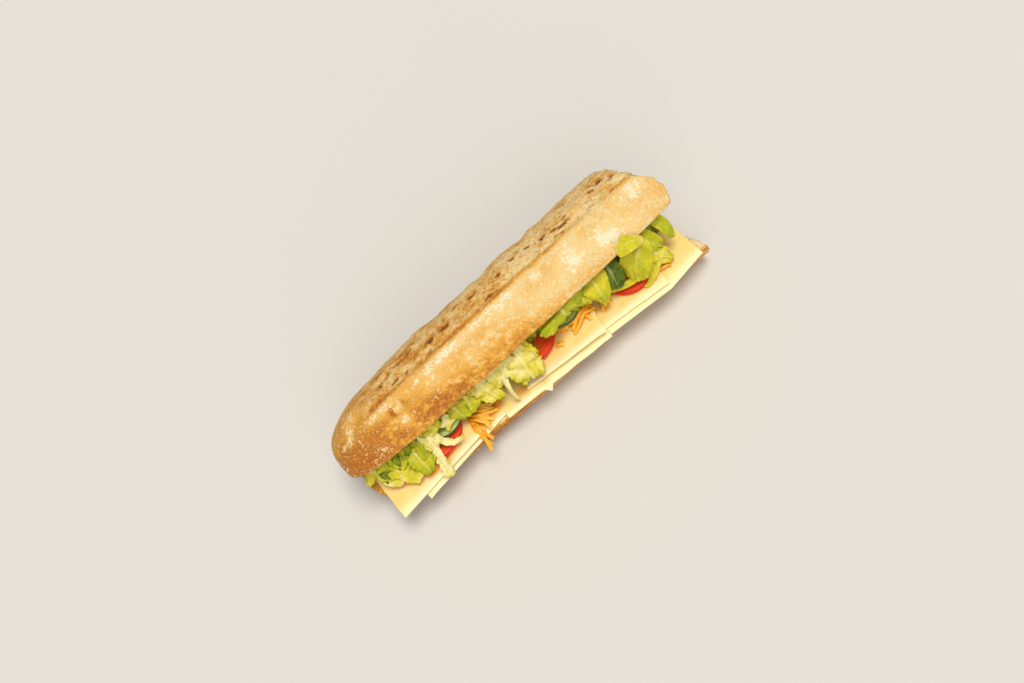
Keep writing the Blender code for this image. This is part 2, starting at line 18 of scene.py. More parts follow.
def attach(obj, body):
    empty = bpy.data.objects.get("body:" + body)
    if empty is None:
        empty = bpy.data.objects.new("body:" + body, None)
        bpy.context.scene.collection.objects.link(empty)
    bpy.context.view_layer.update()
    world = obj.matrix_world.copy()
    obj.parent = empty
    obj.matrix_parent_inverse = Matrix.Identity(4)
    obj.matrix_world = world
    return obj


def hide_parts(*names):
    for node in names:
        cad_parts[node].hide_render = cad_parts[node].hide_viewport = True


bl_info = {
    "name": "Cheese sandwich",
    "version": (1, 0, 0),
    "blender": (4, 5, 0),
    "location": "View3D > Sidebar > Sandwich",
    "description": "Makes the bread, the fillings and the stage of a filled half baguette",
    "category": "Object",
}

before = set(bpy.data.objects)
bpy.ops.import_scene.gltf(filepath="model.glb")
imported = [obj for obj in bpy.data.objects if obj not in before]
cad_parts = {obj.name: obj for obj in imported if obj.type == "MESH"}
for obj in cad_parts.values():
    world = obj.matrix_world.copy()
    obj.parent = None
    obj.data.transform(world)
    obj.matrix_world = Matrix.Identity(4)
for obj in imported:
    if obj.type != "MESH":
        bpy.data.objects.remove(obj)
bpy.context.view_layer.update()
BODY = "root"
MM = 0.001

# The loaf before it is sliced
LOAF_HALF_WIDTH = 32.0
LOAF_CROWN = 32.5
LOAF_BELLY = 29.0
BELLY_EXPONENT = 0.85
WAIST_HEIGHT = 23.7
KNIFE_HEIGHT = 24.5
WIDEST_X = -5.0
ROUND_END_LENGTH = 118.0
ROUND_END_EXPONENT = 3.4
FarEnd = namedtuple("FarEnd", "length exponent")
UPPER_FAR_END = FarEnd(136.0, 6)
LOWER_FAR_END = FarEnd(165.0, 10)
SCORE_BACK = math.radians(34)
SCORE_FRONT = math.radians(127)
SCORE_EDGE_SOFTNESS = math.radians(7)
SCORE_DEPTH = 1.4
SCORE_TIP_X = -98.0
SCORE_FADE = 18.0
CRUST_LUMP = 0.9
CRUST_LUMP_SIZE = 22.0
SCORE_LUMP = 1.1
SCORE_LUMP_SIZE = 11.0
END_CUT_X = 121.5
END_CUT_SLANT = math.tan(math.radians(22))
END_CUT_LEAN = 0.0078
END_CUT_RIM_RECESS = 3.5
END_CUT_RIM_REACH = 4.0
END_CUT_ROUGHNESS = 1.6
END_CUT_GRAIN = 7.0
# The teeth of the torn end, and what they gain towards the top
TOOTH = 0.9
TOP_TOOTH = 1.7
TIP_X = WIDEST_X - ROUND_END_LENGTH
TIP_GAP = 0.02
HINGE_Y = 31.0
HINGE_Z = KNIFE_HEIGHT + 0.35
OPENING_ANGLE = math.radians(36.5)
LOWER_HALF_TURN = math.radians(-1.8)
LOWER_HALF_PIVOT_X = -20.0
LOWER_HALF_SHIFT = 2.0
CRUST_THICKNESS = 1.8
# How far the edge of the crust is baked on the cut faces
CUT_BAKED = 0.45
# How finely a half is divided: along it, round it, across its far end and across its tip, then how finely its
# length is measured and how often the place of its far end is worked out again
LOAF_RINGS = 300
LOAF_COLUMNS = 130
END_ROWS = 40
TIP_ROWS = 8
LENGTH_SAMPLES = 3000
END_ROUNDS = 5
# The sizes of the fine relief, in metres: each is an input of its tree, and a setting of the same name
RELIEF_SIZES = {
    "Grain Height": 0.0002,
    "Pore Depth": 0.001,
    "Pore Size": 0.004,
    "Crumb Depth": 0.001,
    "Crumb Size": 0.004,
}
FLAKE_SEED = 3
SQUARE_CENTIMETRES = 10000.0

# Colours of the torn score from little to much baked, of splits, pale places and freckles, and the painted
# shade at the rims of holes, deep in them and in the holes of the crumb
TORN_COLOURS = ((0.0, (0.86, 0.66, 0.32)), (0.34, (0.82, 0.50, 0.14)), (0.66, (0.66, 0.29, 0.045)))
TORN_SPLIT = (0.52, 0.20, 0.03)
PALE_TORN = (0.86, 0.65, 0.31)
CRUST_SPLIT = (0.42, 0.17, 0.035)
FRECKLE = (0.36, 0.12, 0.02)
HOLE_RIM_SHADE = (0.46, 0.17, 0.03)
HOLE_SHADE = (0.13, 0.045, 0.012)
CRUMB_HOLE_SHADE = (0.62, 0.42, 0.19)

# Holes torn open in the crust: place along X, angle round the loaf, length, width and depth
CRUST_HOLES = (
    (-75.5, 140.5, 5.4, 3.0, 1.6),
    (-75.0, 101.0, 2.2, 1.6, 1.8),
    (-57.0, 96.5, 4.5, 1.3, 1.7),
    (-50.5, 94.5, 3.6, 1.3, 1.8),
    (-36.0, 105.5, 3.2, 2.0, 1.6),
    (-25.5, 105.0, 3.4, 1.9, 2.0),
    (-13.0, 93.5, 2.8, 1.2, 1.6),
    (-2.0, 98.5, 2.8, 1.6, 1.5),
    (17.0, 103.0, 2.0, 1.2, 1.4),
    (29.0, 99.0, 1.8, 1.2, 1.4),
    (40.0, 100.5, 2.0, 1.3, 1.5),
    (50.0, 105.5, 2.2, 1.5, 1.6),
    (63.0, 113.0, 4.0, 1.3, 1.5),
    (57.5, 110.0, 2.5, 1.1, 1.3),
    (88.0, 103.0, 2.0, 1.2, 1.3),
    (95.0, 99.5, 2.8, 1.9, 1.3),
    (5.0, 118.0, 3.6, 1.0, 1.2),
    (-66.0, 114.0, 2.6, 1.0, 1.1),
)
# Flour: place along X, angle, length, width (as an arc on the crust), strength
FLOUR_PATCHES = (
    (-74.0, 141.0, 3.2, 2.5, 1.2),
    (54.0, 147.0, 8.0, 7.5, 1.0),
    (32.0, 137.0, 3.5, 2.6, 1.0),
    (-32.0, 133.0, 24.0, 4.0, 0.85),
    (8.0, 137.0, 15.0, 5.0, 0.8),
    (20.0, 131.0, 60.0, 2.0, 0.4),
    (77.0, 154.0, 11.0, 7.0, 0.8),
    (104.0, 139.0, 12.0, 5.0, 0.75),
    (90.0, 165.0, 16.0, 6.0, 0.45),
    (-84.0, 130.0, 12.0, 4.5, 0.7),
    (-75.0, 157.0, 4.5, 5.0, 0.7),
    (30.0, 158.0, 22.0, 8.0, 0.55),
    (-50.0, 148.0, 12.0, 6.0, 0.5),
    (-22.0, 152.0, 9.0, 5.0, 0.4),
    (-108.0, 128.0, 4.0, 4.0, 0.45),
    (-104.0, 116.0, 4.0, 4.0, 0.55),
    (-99.0, 104.0, 5.0, 4.0, 0.45),
    (75.0, 107.0, 7.0, 4.5, 0.55),
    (-45.0, 112.0, 12.0, 5.0, 0.4),
    (-8.0, 115.0, 10.0, 5.0, 0.5),
    (30.0, 112.0, 9.0, 5.0, 0.45),
)
# Where the crust is baked darker: place along X, angle, length, width, strength
BAKED_PATCHES = (
    (-78.2, 140.0, 1.5, 3.2, 0.85),
    (-75.2, 136.2, 3.0, 1.1, 0.30),
    (-69.6, 141.0, 1.2, 2.6, 0.40),
    (-75.0, 146.0, 3.0, 1.1, 0.34),
    (-112.0, 150.0, 20.0, 30.0, 0.62),
    (-80.0, 168.0, 30.0, 8.0, 0.32),
    (-40.0, 172.0, 24.0, 6.0, 0.28),
    (0.0, 175.0, 36.0, 6.0, 0.34),
    (-58.0, 158.0, 14.0, 7.0, 0.28),
    (-92.0, 140.0, 10.0, 9.0, 0.22),
    (94.0, 100.0, 6.0, 5.0, 0.35),
    (105.0, 122.0, 12.0, 3.0, 0.40),
    (48.0, 124.5, 12.0, 2.0, 0.36),
    (0.0, 124.0, 40.0, 2.0, 0.50),
    (-60.0, 121.0, 26.0, 2.0, 0.45),
    (-28.0, 105.0, 10.0, 4.0, 0.30),
    (5.0, 108.0, 9.0, 4.0, 0.30),
    (60.0, 112.0, 7.0, 4.0, 0.25),
    (-70.0, 88.0, 40.0, 4.0, 0.26),
)

# Cheese
CHEESE_THICKNESS = 2.0
CHEESE_DROOP = 0.038
CHEESE_DROOP_INSET = 3.5
CHEESE_EDGE = 0.45
CHEESE_CELL = 1.1
CHEESE_THINNEST = 0.12
# Where the front edge of a slice bows out most, as a share of its width
BOW_PLACE = 0.62
# A small corner that hangs further down than the edge of its slice
HANGING_SLICE = "cheese_slice_3"
HANGING_X = -3.9
HANGING_HALF_WIDTH = 2.9
HANGING_REACH = 2.9
CheeseSlice = namedtuple("CheeseSlice", "name corner turn side_turn width depth lift rise bow ragged")
CHEESE_SLICES = (
    CheeseSlice("cheese_slice_1", (-116.2, -34.4), 3.7, -1.5, 64, 54, 3.9, 1.9, 0.0, 0.25),
    CheeseSlice("cheese_slice_2", (-97.8, -35.2), 5.0, 4.0, 65.4, 50, 1.3, 0.0, 0.0, 0.25),
    CheeseSlice("cheese_slice_3", (-33.0, -32.4), -4.0, 4.0, 76.3, 48, 1.3, 0.0, 0.0, 0.3),
    CheeseSlice("cheese_slice_4", (-14.3, -28.6), -7.3, -11.0, 57, 44, 3.9, 4.1, 0.0, 1.1),
    CheeseSlice("cheese_slice_5", (25.0, -31.2), -6.6, -5.0, 63, 48, 3.8, 0.2, 0.0, 0.25),
    CheeseSlice("cheese_slice_6", (43.0, -36.4), -1.1, 4.0, 71, 50, 1.3, 0.0, 3.2, 0.35),
)

# Colours of the painted highlight along the front edge, and of the marks and stains on the cheese
CHEESE_PAINTED_HIGHLIGHT = (0.96, 0.88, 0.58)
CHEESE_MARK = (0.74, 0.48, 0.14)
CHEESE_STAIN = (0.90, 0.36, 0.02)
# Juice of the filling on the cheese: place, size, strength
CHEESE_STAINS = (
    ((51.0, -23.5), 3.0, 0.9),
    ((46.5, -21.0), 2.0, 0.5),
    ((-97.5, -16.5), 4.0, 0.7),
    ((-105.0, -20.5), 0.7, 1.0),
    ((-43.0, -22.0), 6.5, 1.1),
    ((-34.0, -20.0), 4.5, 0.9),
    ((-86.0, -26.5), 3.5, 0.8),
    ((-78.0, -27.5), 3.5, 0.7),
    ((-19.0, -25.0), 3.5, 0.6),
    ((16.5, -22.5), 2.2, 0.7),
    ((26.0, -15.0), 7.0, 0.8),
    ((38.5, -19.5), 4.0, 0.7),
    ((68.0, -30.0), 6.0, 0.35),
    ((-12.0, -28.0), 5.0, 0.4),
    ((-70.0, -27.0), 6.0, 0.4),
    ((0.0, -22.0), 5.0, 0.6),
    ((91.0, -29.0), 4.0, 0.4),
)

# Tomato and cucumber
RoundSlice = namedtuple("RoundSlice", "name centre radius thickness side_lean front_lean turn")
TOMATO_SLICES = (
    RoundSlice("tomato_slice_1", (-90.2, -6.6, 32.5), 19.5, 4.0, 2.0, 0.0, 10),
    RoundSlice("tomato_slice_2", (-72.3, -8.8, 36.3), 19.0, 4.0, 10.0, 3.0, 60),
    RoundSlice("tomato_slice_3", (5.0, -3.5, 35.2), 19.5, 4.0, -3.8, 2.0, 32),
    RoundSlice("tomato_slice_4", (76.5, -11.0, 31.9), 20.0, 4.0, 0.0, 1.0, 75),
)
CUCUMBER_SLICES = (
    RoundSlice("cucumber_slice_1", (-61.0, -6.5, 44.2), 15.5, 3.2, 0.0, 18.0, 0),
    RoundSlice("cucumber_slice_2", (31.0, -4.6, 40.6), 15.0, 3.0, -6.0, 10.0, 0),
)
# How finely a round slice is divided: across its face, over its rounded rind and round it
FACE_RINGS = 26
RIND_RINGS = 6
SLICE_SIDES = 96
POCKET_DEPTH = 0.55
ROUND_SLICE_UNEVENNESS = 0.025
RIND_ROUNDING = 0.32
# Pockets round the middle, and the skin as a share of the radius
TOMATO_LOBES = 4
TOMATO_SKIN = 0.07
CUCUMBER_LOBES = 3
CUCUMBER_SKIN = 0.085
# Seeds tried on each tomato slice, how deep they sit, and what chooses their places and turns
SEED_TRIES = 60
SEED_SINK = 0.35
SEED_PLACES = 11
SEED_TURNS = 5

CUCUMBER_POCKET = (0.30, 0.40, 0.06)
CUCUMBER_RIM = (0.03, 0.11, 0.012)
SEED_COLOURS = ((0.72, 0.50, 0.16), (0.62, 0.34, 0.07))

# Carrot
SHRED_WIDTH = 2.208
SHRED_THICKNESS = 1.105
SHRED_STEPS = 15
COMPANION_FAN = 9
COMPANION_LIFTS = (0.0, 0.5, 0.3)
# A bundle with more shreds than this is the large one, whose shreds widen along their run
SMALL_BUNDLE = 5
# The solid's own shred and the thinner ones beside it, the last one only in the large bundle: offset and
# width share
SHRED_COMPANIONS = ((0.0, 1.0), (0.7, 0.5), (-0.65, 0.6))
CarrotBundle = namedtuple("CarrotBundle", "name root reach count first_angle last_angle arch droop")
CARROT_BUNDLES = (
    CarrotBundle("carrot_shreds_1", (-50.5, -13.5, 28.2), 18, 6, -72, -6, 2.2, 0.0),
    CarrotBundle("carrot_shreds_2", (46.0, -18.6, 35.0), 24, 3, 172, 184, 2.6, 1.8),
    CarrotBundle("carrot_shreds_3", (53.5, -16.0, 31.0), 9, 3, -120, -70, 1.0, 1.6),
    CarrotBundle("carrot_shreds_4", (88.2, -29.2, 28.8), 8, 1, -16, -16, 0.4, 0.0),
    CarrotBundle("carrot_shreds_5", (-51.6, -22.0, 29.4), 15, 2, -96, -86, 3.0, 9.5),
    CarrotBundle("carrot_bit_1", (15.6, -22.5, 32.6), 4.2, 1, -35, -35, 0.3, 0.0),
    CarrotBundle("carrot_bit_2", (38.6, -20.0, 34.5), 5.5, 1, -75, -75, 0.3, 0.0),
)

# Lettuce. tone: 0 is the white of a rib, 1 the darkest green; frill: height of the curls along the rim;
# rib: how far the middle rib swells; jag: how torn the rim is
VIEW_OUTWARD = Vector((0.0, -0.42, 0.91))
LEAF_BLUNTING = 0.65
# How finely the leaves are divided, and the fewest and most columns and rows of one
LEAF_CELL = 0.55
FILLING_LEAF_CELL = 0.8
LEAF_COLUMNS = (9, 64)
LEAF_ROWS = (12, 70)
# A leaf with more frill than this is greener at its rim and has stronger veins; a smoother leaf is paler at
# its rim, a painted highlight
FRILLY = 0.6
Leaf = namedtuple("Leaf", "root middle tip widths cup ruffle waves phase tone frill rib jag")
HEAP_LEAVES = (
    Leaf((-108.5, -5, 46), (-115.9, -8, 41.5), (-118.1, -9.7, 37),
         (5, 6, 4), 0.3, 1, 1, 0.2, 0.28, 0.8, 0, 0.2),
    Leaf((-80, -21.7, 43), (-87.9, -23.3, 38.5), (-95.3, -21.6, 36.8),
         (5, 6, 4), 0.1, 0.8, 1, 1.1, 0.42, 0.2, 0, 0.1),
    Leaf((-88.5, -9.5, 51), (-91.6, -13.4, 47.5), (-89.2, -17.4, 42.5),
         (6, 7.5, 6), 0.2, 0.8, 1, 2, 0.5, 0.3, 0, 0.1),
    Leaf((-79.7, -10.1, 52), (-78.9, -18.9, 45.5), (-83.1, -25.2, 38.5),
         (8, 10.5, 7), -0.2, 1.6, 1.5, 0.4, 0.6, 0.5, 0.2, 0.15),
    Leaf((-70.1, -12, 56), (-68.8, -15.3, 53), (-67.4, -18.9, 51),
         (10, 13, 10), 0.2, 1.6, 1.5, 2.6, 0.3, 0.8, 0.2, 0.2),
    Leaf((-72.3, -12.2, 54), (-76, -24.8, 43), (-80.1, -34.9, 27),
         (5, 4.6, 9), 0, 1.2, 2, 1.5, 0.0, 0.9, 1, 0.9),
    Leaf((-71.6, -13.4, 54), (-67.9, -23.9, 42), (-58.9, -26.7, 38.5),
         (4, 4.2, 5), 0, 1, 1.5, 0.7, 0.02, 0.9, 1, 0.9),
    Leaf((-42.6, -11.1, 54), (-43.5, -16.9, 48), (-45.7, -22.3, 42),
         (12, 15, 10), 0.1, 2, 2, 0.9, 0.32, 1.5, 0.3, 0.3),
    Leaf((-32, -11.5, 55), (-30.7, -18.8, 48), (-28.9, -24.8, 38.5),
         (14, 16, 9), 0.1, 2.2, 2.5, 0, 0.2, 1.8, 0.4, 0.4),
    Leaf((-22.8, -12, 55), (-22.4, -17.8, 50), (-24, -22, 43),
         (7, 9.5, 7), 0.1, 1.6, 1.5, 1.9, 0.15, 1.2, 0.6, 0.3),
    Leaf((-6.5, -11, 53), (-19, -21.9, 47), (-21.4, -29.7, 31),
         (4, 3.2, 3.2), 0, 0.8, 1.5, 2.2, 0.03, 0.3, 1.2, 0.2),
    Leaf((-5.4, -11, 53.5), (-5.6, -23.3, 48.5), (-7.2, -30.1, 38.5),
         (7, 19, 20), 0.1, 2.2, 2.5, 1.3, 0.2, 1.4, 0.8, 0.45),
    Leaf((31, -11, 53.5), (31, -18.2, 55.4), (33, -20.6, 50),
         (34, 38, 32), 0, 1.2, 2.5, 0.6, 0.52, 0.9, 0, 0.15),
    Leaf((54.1, -11, 53.5), (54, -22, 50.5), (52.2, -27.2, 39.5),
         (20, 15.5, 3.5), 0.1, 1.4, 1.5, 2, 0.4, 0.5, 0.5, 0.12),
    # This leaf has the darkest tone: a dark green leaf, darkened further as painted shade where it lies in
    # shadow
    Leaf((66.1, -10.5, 52), (65.5, -20.5, 48.5), (63.2, -25.7, 41.5),
         (12, 14, 10), 0.1, 1.2, 1.5, 0.3, 1.0, 0.4, 0, 0.1),
)
# Further leaves over the tomato and between the large ones
MORE_LEAVES = (
    Leaf((-107, -6, 44), (-106, -14, 39.5), (-102.6, -22, 35.9),
         (9, 12, 8), 0.2, 1.2, 1.5, 0.2, 0.24, 0.5, 0, 0.25),
    Leaf((-98, -7, 43.5), (-97, -17, 39.6), (-94, -28, 36.0),
         (10, 13, 9), 0.2, 1.4, 1.5, 0.6, 0.3, 0.5, 0.2, 0.3),
    Leaf((-107.5, -7.5, 47), (-107.2, -13, 43.5), (-106, -17.5, 39.5),
         (7, 9, 6), 0.2, 1, 1.5, 1, 0.34, 0.6, 0, 0.2),
    Leaf((-97, -9.5, 49.5), (-96.2, -14.5, 46), (-95.2, -18.5, 42.8),
         (7, 9, 6), 0.2, 1, 1.5, 2, 0.36, 0.6, 0.1, 0.2),
    Leaf((-87, -10, 48), (-86, -20, 43.4), (-86.6, -29.4, 36.9),
         (10, 14, 10), 0.1, 1.4, 1.5, 1.4, 0.46, 0.9, 0.2, 0.4),
    Leaf((-61, -14, 50), (-60, -17.5, 48), (-60.5, -20, 45),
         (7, 9.5, 7), 0.1, 1.2, 1.5, 2.2, 0.12, 1.4, 0.6, 0.5),
    Leaf((-75, -12, 52), (-73.5, -19, 48), (-72.5, -23.4, 43),
         (9, 12, 9), 0.1, 1.5, 1.5, 0.2, 0.14, 1.5, 0.4, 0.5),
    Leaf((-52, -11.5, 53), (-51.5, -17, 49), (-50.5, -21.4, 43),
         (8, 11, 8), 0.1, 1.5, 1.5, 1.2, 0.5, 1.1, 0.2, 0.4),
    Leaf((-15, -12, 54), (-12.5, -20, 50), (-10.5, -26, 42),
         (9, 12, 9), 0.1, 1.4, 1.5, 0.5, 0.1, 1.5, 0.9, 0.5),
    Leaf((1, -14, 52), (2, -20, 48.5), (3.4, -24.2, 44.5),
         (5, 6.5, 4), 0.1, 1.2, 1.5, 2.4, 0.3, 1.5, 0.3, 0.7),
    Leaf((45, -12, 53), (44, -18.5, 51), (43.5, -22, 45.5),
         (9, 12, 8), 0.1, 1.3, 1.5, 0.9, 0.45, 0.9, 0.2, 0.3),
)
SINGLE_LEAVES = {
    "lettuce_leaf_1": (
        Leaf((-103.6, -7.8, 48), (-101.2, -14.2, 43.5), (-94.9, -19.9, 39.2),
             (10, 12, 7.5), 0.2, 0.8, 1, 0.5, 0.32, 0.2, 0, 0.05),
    ),
    "lettuce_leaf_2": (
        Leaf((90.3, -22, 60), (82.5, -21.3, 68.5), (73.8, -21.4, 66),
             (4, 10, 7), 0.15, 1, 1, 0.4, 0.33, 0.2, 0.3, 0.06),
        Leaf((89.5, -21.1, 60), (80.6, -25, 51.5), (74, -29.8, 39.5),
             (8, 19, 12), 0.15, 1.6, 1.5, 1.9, 0.44, 0.5, 0.3, 0.08),
        Leaf((76, -27.6, 41), (67.7, -26.0, 38.8), (57.2, -21.8, 39.6),
             (5, 3.6, 2.6), 0, 0.3, 1, 0.9, 0.42, 0.2, 0, 0.1),
    ),
    "lettuce_leaf_3": (
        Leaf((102.6, -12.5, 54), (105.8, -19.6, 50.5), (106.1, -24.7, 41),
             (6, 8, 5), 0.2, 1.2, 1, 2.4, 0.56, 0.3, 0, 0.1),
    ),
    "lettuce_leaf_4": (
        Leaf((90.2, -14.5, 54), (93.8, -21.9, 49.5), (98.2, -25, 41),
             (9, 12.5, 6), 0.1, 1.4, 1.5, 1.7, 0.52, 0.4, 0.2, 0.08),
        Leaf((90.8, -20.5, 49), (93.2, -26, 40), (98.9, -29.5, 31.5),
             (8, 11, 7), 0.1, 1.5, 2, 0.8, 0.26, 1.1, 0.4, 0.3),
        Leaf((93, -26.5, 39.5), (84, -30.3, 34), (75.6, -32.2, 31.2),
             (5, 5, 3.2), 0, 0.3, 1, 0.8, 0.36, 0.2, 0, 0.1),
    ),
}
# Stretches of the front where the small leaves stay back
OPEN_STRETCHES = ((1.0, 22.0), (68.0, 78.0))
# The leaves that fill the gaps along the front: where they begin, how far they run, and how low they may hang
# near the ends and elsewhere
FILLING_FROM_X = -108
FILLING_RUN = 212
FILLING_LOWEST = (34.0, 38.0)
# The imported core
CORE_SIDES = 72
CORE_RINGS = 260
CORE_FROM_X = -105.0
CORE_TO_X = 99.0
CORE_CENTRE_Y = -3.6
CORE_CENTRE_Z = 47.0
CORE_HALF_DEPTH = 10.8
CORE_HALF_HEIGHT = 15.0
CORE_FLOOR_Z = 38.6
CORE_CEILING_GAP = 0.8

# Stage. The floor lies a little under the sandwich, in metres
FLOOR_SIZE = 4.0
FLOOR_DROP = 0.0002
WORLD_COLOUR = (1.0, 0.96, 0.88, 1)
WORLD_STRENGTH = 0.32
# Lights: direction they come from, width in degrees, colour
KEY_LIGHT = ((0.2, -0.14, 1.1), 24.0, (1.0, 0.955, 0.88))
FILL_LIGHT = ((-0.3, -1.0, 0.75), 60.0, (1.0, 0.97, 0.91))
CAMERA_PLACE = (-2.0, -345.9, 772.7)
CAMERA_AIM = (-2.0, -16.25, 65.73)
CAMERA_ROLL = math.radians(42.6)
CAMERA_FOCAL_PIXELS = 1400.0
PICTURE_WIDTH_PIXELS = 1024.0


def length(name, description, default):
    """A setting that is a length."""
    return FloatProperty(name=name, description=description, default=default, subtype="DISTANCE")


def paint(name, description, default):
    """A setting that is a colour."""
    return FloatVectorProperty(name=name, description=description, default=default, subtype="COLOR")


def light_strength(name, description, default):
    """A setting that is the strength of a light."""
    return FloatProperty(name=name, description=description, default=default, min=0)


def whole_number(name, description, default):
    """A setting that is a whole number."""
    return IntProperty(name=name, description=description, default=default, min=0)


class BreadSettings(PropertyGroup):
    """Sizes and colours of the bread."""

    grain_height: length("Grain height", "Height of the fine bumps of the crust", 0.00022)
    pore_depth: length("Pore depth", "Depth of the open pores in the scored top", 0.0013)
    pore_size: length("Pore size", "Spacing of the open pores in the scored top", 0.0042)
    crumb_depth: length("Crumb depth", "Depth of the holes in the cut crumb", 0.0016)
    crumb_size: length("Crumb size", "Spacing of the holes in the cut crumb", 0.0038)
    flake_count: whole_number("Flakes", "Flakes of crust per square centimetre of the scored top", 14)
    pale_crust: paint("Pale crust", "Where the crust is baked least", (0.84, 0.65, 0.32))
    golden_crust: paint("Golden crust", "Colour of most of the crust", (0.82, 0.41, 0.055))
    dark_crust: paint("Dark crust", "Where the crust is baked most", (0.42, 0.115, 0.014))
    thin_flour: paint("Thin flour", "Where the crust shows through the flour", (0.93, 0.60, 0.20))
    flour: paint("Flour", "Flour dusted on the crust", (0.94, 0.84, 0.60))
    crumb: paint("Crumb", "The soft inside of the bread", (0.90, 0.71, 0.38))


class CheeseSettings(PropertyGroup):
    """Sizes and colours of the cheese."""

    thickness: length("Thickness", "Thickness of a slice", CHEESE_THICKNESS * MM)
    colour: paint("Cheese", "Colour of the cheese", (0.88, 0.62, 0.19))
    pale: paint("Pale cheese", "Where the cheese is palest", (0.92, 0.71, 0.27))


class VegetableSettings(PropertyGroup):
    """Sizes and colours of the tomato, cucumber and carrot."""

    tomato_flesh: paint("Tomato flesh", "Cut flesh of the tomato", (0.74, 0.055, 0.004))
    tomato_skin: paint("Tomato skin", "Skin of the tomato", (0.68, 0.024, 0.002))
    tomato_gel: paint("Tomato gel", "The pockets with the seeds", (0.60, 0.14, 0.02))
    cucumber_flesh: paint("Cucumber flesh", "Cut flesh of the cucumber", (0.45, 0.52, 0.09))
    cucumber_skin: paint("Cucumber skin", "Skin of the cucumber", (0.012, 0.05, 0.008))
    carrot: paint("Carrot", "Colour of the carrot", (0.97, 0.37, 0.008))
    carrot_tip: paint("Carrot tips", "Paler ends of the shreds", (0.97, 0.52, 0.030))
    seed_length: length("Seed length", "Length of a tomato seed", 0.0022)


class LettuceSettings(PropertyGroup):
    """Sizes and colours of the lettuce."""

    leaf_thickness: length("Leaf thickness", "Thickness of a leaf", 0.00055)
    filling_leaves: whole_number("Filling leaves", "Small leaves packed between the large ones", 150)
    seed: whole_number("Seed", "Chooses where the filling leaves lie", 7)
    rib: paint("Ribs", "White ribs and veins", (0.88, 0.79, 0.36))
    pale_leaf: paint("Pale leaf", "Inner leaves", (0.65, 0.56, 0.022))
    leaf: paint("Leaf", "Colour of most leaves", (0.41, 0.43, 0.010))
    dark_leaf: paint("Dark leaf", "Outer leaves", (0.035, 0.085, 0.005))


class StageSettings(PropertyGroup):
    """The floor and the lights."""

    floor_colour: paint("Floor", "Colour of the floor", (0.66, 0.655, 0.64))
    key_strength: light_strength("Key light", "Strength of the main light", 2.25)
    fill_strength: light_strength("Fill light", "Strength of the soft light", 1.0)


class SandwichSettings(PropertyGroup):
    """All settings of the sandwich."""

    bread: PointerProperty(type=BreadSettings)
    cheese: PointerProperty(type=CheeseSettings)
    vegetables: PointerProperty(type=VegetableSettings)
    lettuce: PointerProperty(type=LettuceSettings)
    stage: PointerProperty(type=StageSettings)


def give(tree, socket, value):
    """Links a socket's value, or sets a plain one."""
    if isinstance(value, bpy.types.NodeSocket):
        tree.links.new(value, socket)
    else:
        socket.default_value = value


def put(tree, kind, inputs=None, **options):
    """Adds a node, sets its options, and sets or links its inputs."""
    made = tree.nodes.new(kind)
    for name, value in options.items():
        setattr(made, name, value)
    for name, value in (inputs or {}).items():
        give(tree, made.inputs[name], value)
    return made


def maths(operation):
    """A function that adds a Math node of one operation and gives its output."""

    def add(tree, *values, clamp=False):
        options = {"operation": operation, "use_clamp": clamp}
        return put(tree, "ShaderNodeMath", dict(enumerate(values)), **options).outputs[0]

    return add


plus, minus, times, over = (maths(name) for name in ("ADD", "SUBTRACT", "MULTIPLY", "DIVIDE"))
larger, fraction, unsigned = (maths(name) for name in ("MAXIMUM", "FRACT", "ABSOLUTE"))


def varied(tree, value, *parts):
    """The value with clouds added, each around its middle, by (cloud, amount) pairs."""
    for part, amount in parts:
        value = plus(tree, value, times(tree, minus(tree, part, 0.5), amount))
    return value


def between(tree, value, low, high, start=0.0, end=1.0):
    """Where value runs from low to high, a smooth run from start to end."""
    made = put(
        tree,
        "ShaderNodeMapRange",
        {"Value": value, "From Min": low, "From Max": high, "To Min": start, "To Max": end},
        interpolation_type="SMOOTHSTEP",
    )
    return made.outputs[0]


def blended(tree, share, first, second):
    """The first colour turning into the second as share goes from 0 to 1."""
    made = put(tree, "ShaderNodeMix", {0: share}, data_type="RGBA", clamp_factor=True)
    for socket, value in zip(made.inputs[6:8], (first, second)):
        give(tree, socket, value if isinstance(value, bpy.types.NodeSocket) else (*value, 1.0))
    return made.outputs[2]


def ramp(tree, value, stops):
    """A colour ramp over value, from (place, colour) pairs."""
    made = put(tree, "ShaderNodeValToRGB", {"Fac": value})
    elements = made.color_ramp.elements
    while len(elements) < len(stops):
        elements.new(0.5)
    for element, (place, colour) in zip(elements, stops):
        element.position = place
        element.color = (*colour, 1.0)
    return made.outputs[0]


def attribute(tree, name):
    """A point value that the mesh carries."""
    return put(tree, "ShaderNodeAttribute", attribute_name=name).outputs["Fac"]


def new_group(name, kind, inputs, outputs):
    """A node group with named inputs and outputs, and its two end nodes."""
    tree = bpy.data.node_groups.new(name, kind)
    for label, socket, default in inputs:
        made = tree.interface.new_socket(label, in_out="INPUT", socket_type="NodeSocket" + socket)
        if default is not None:
            made.default_value = default
    for label, socket in outputs:
        tree.interface.new_socket(label, in_out="OUTPUT", socket_type="NodeSocket" + socket)
    return tree, tree.nodes.new("NodeGroupInput").outputs, tree.nodes.new("NodeGroupOutput").inputs


def geometry_tree(name, inputs):
    """A geometry tree: its given values start with the geometry and end with the material."""
    inputs = [("Geometry", "Geometry", None), *inputs, ("Material", "Material", None)]
    return new_group(name, "GeometryNodeTree", inputs, [("Geometry", "Geometry")])


def ended(tree, given, out, geometry, smooth=False):
    """Ends a geometry tree: real geometry, shaded smooth if wanted, with its material."""
    geometry = put(tree, "GeometryNodeRealizeInstances", {"Geometry": geometry}).outputs[0]
    if smooth:
        geometry = put(tree, "GeometryNodeSetShadeSmooth", {"Geometry": geometry}).outputs[0]
    inputs = {"Geometry": geometry, "Material": given["Material"]}
    tree.links.new(put(tree, "GeometryNodeSetMaterial", inputs).outputs[0], out["Geometry"])
    return tree


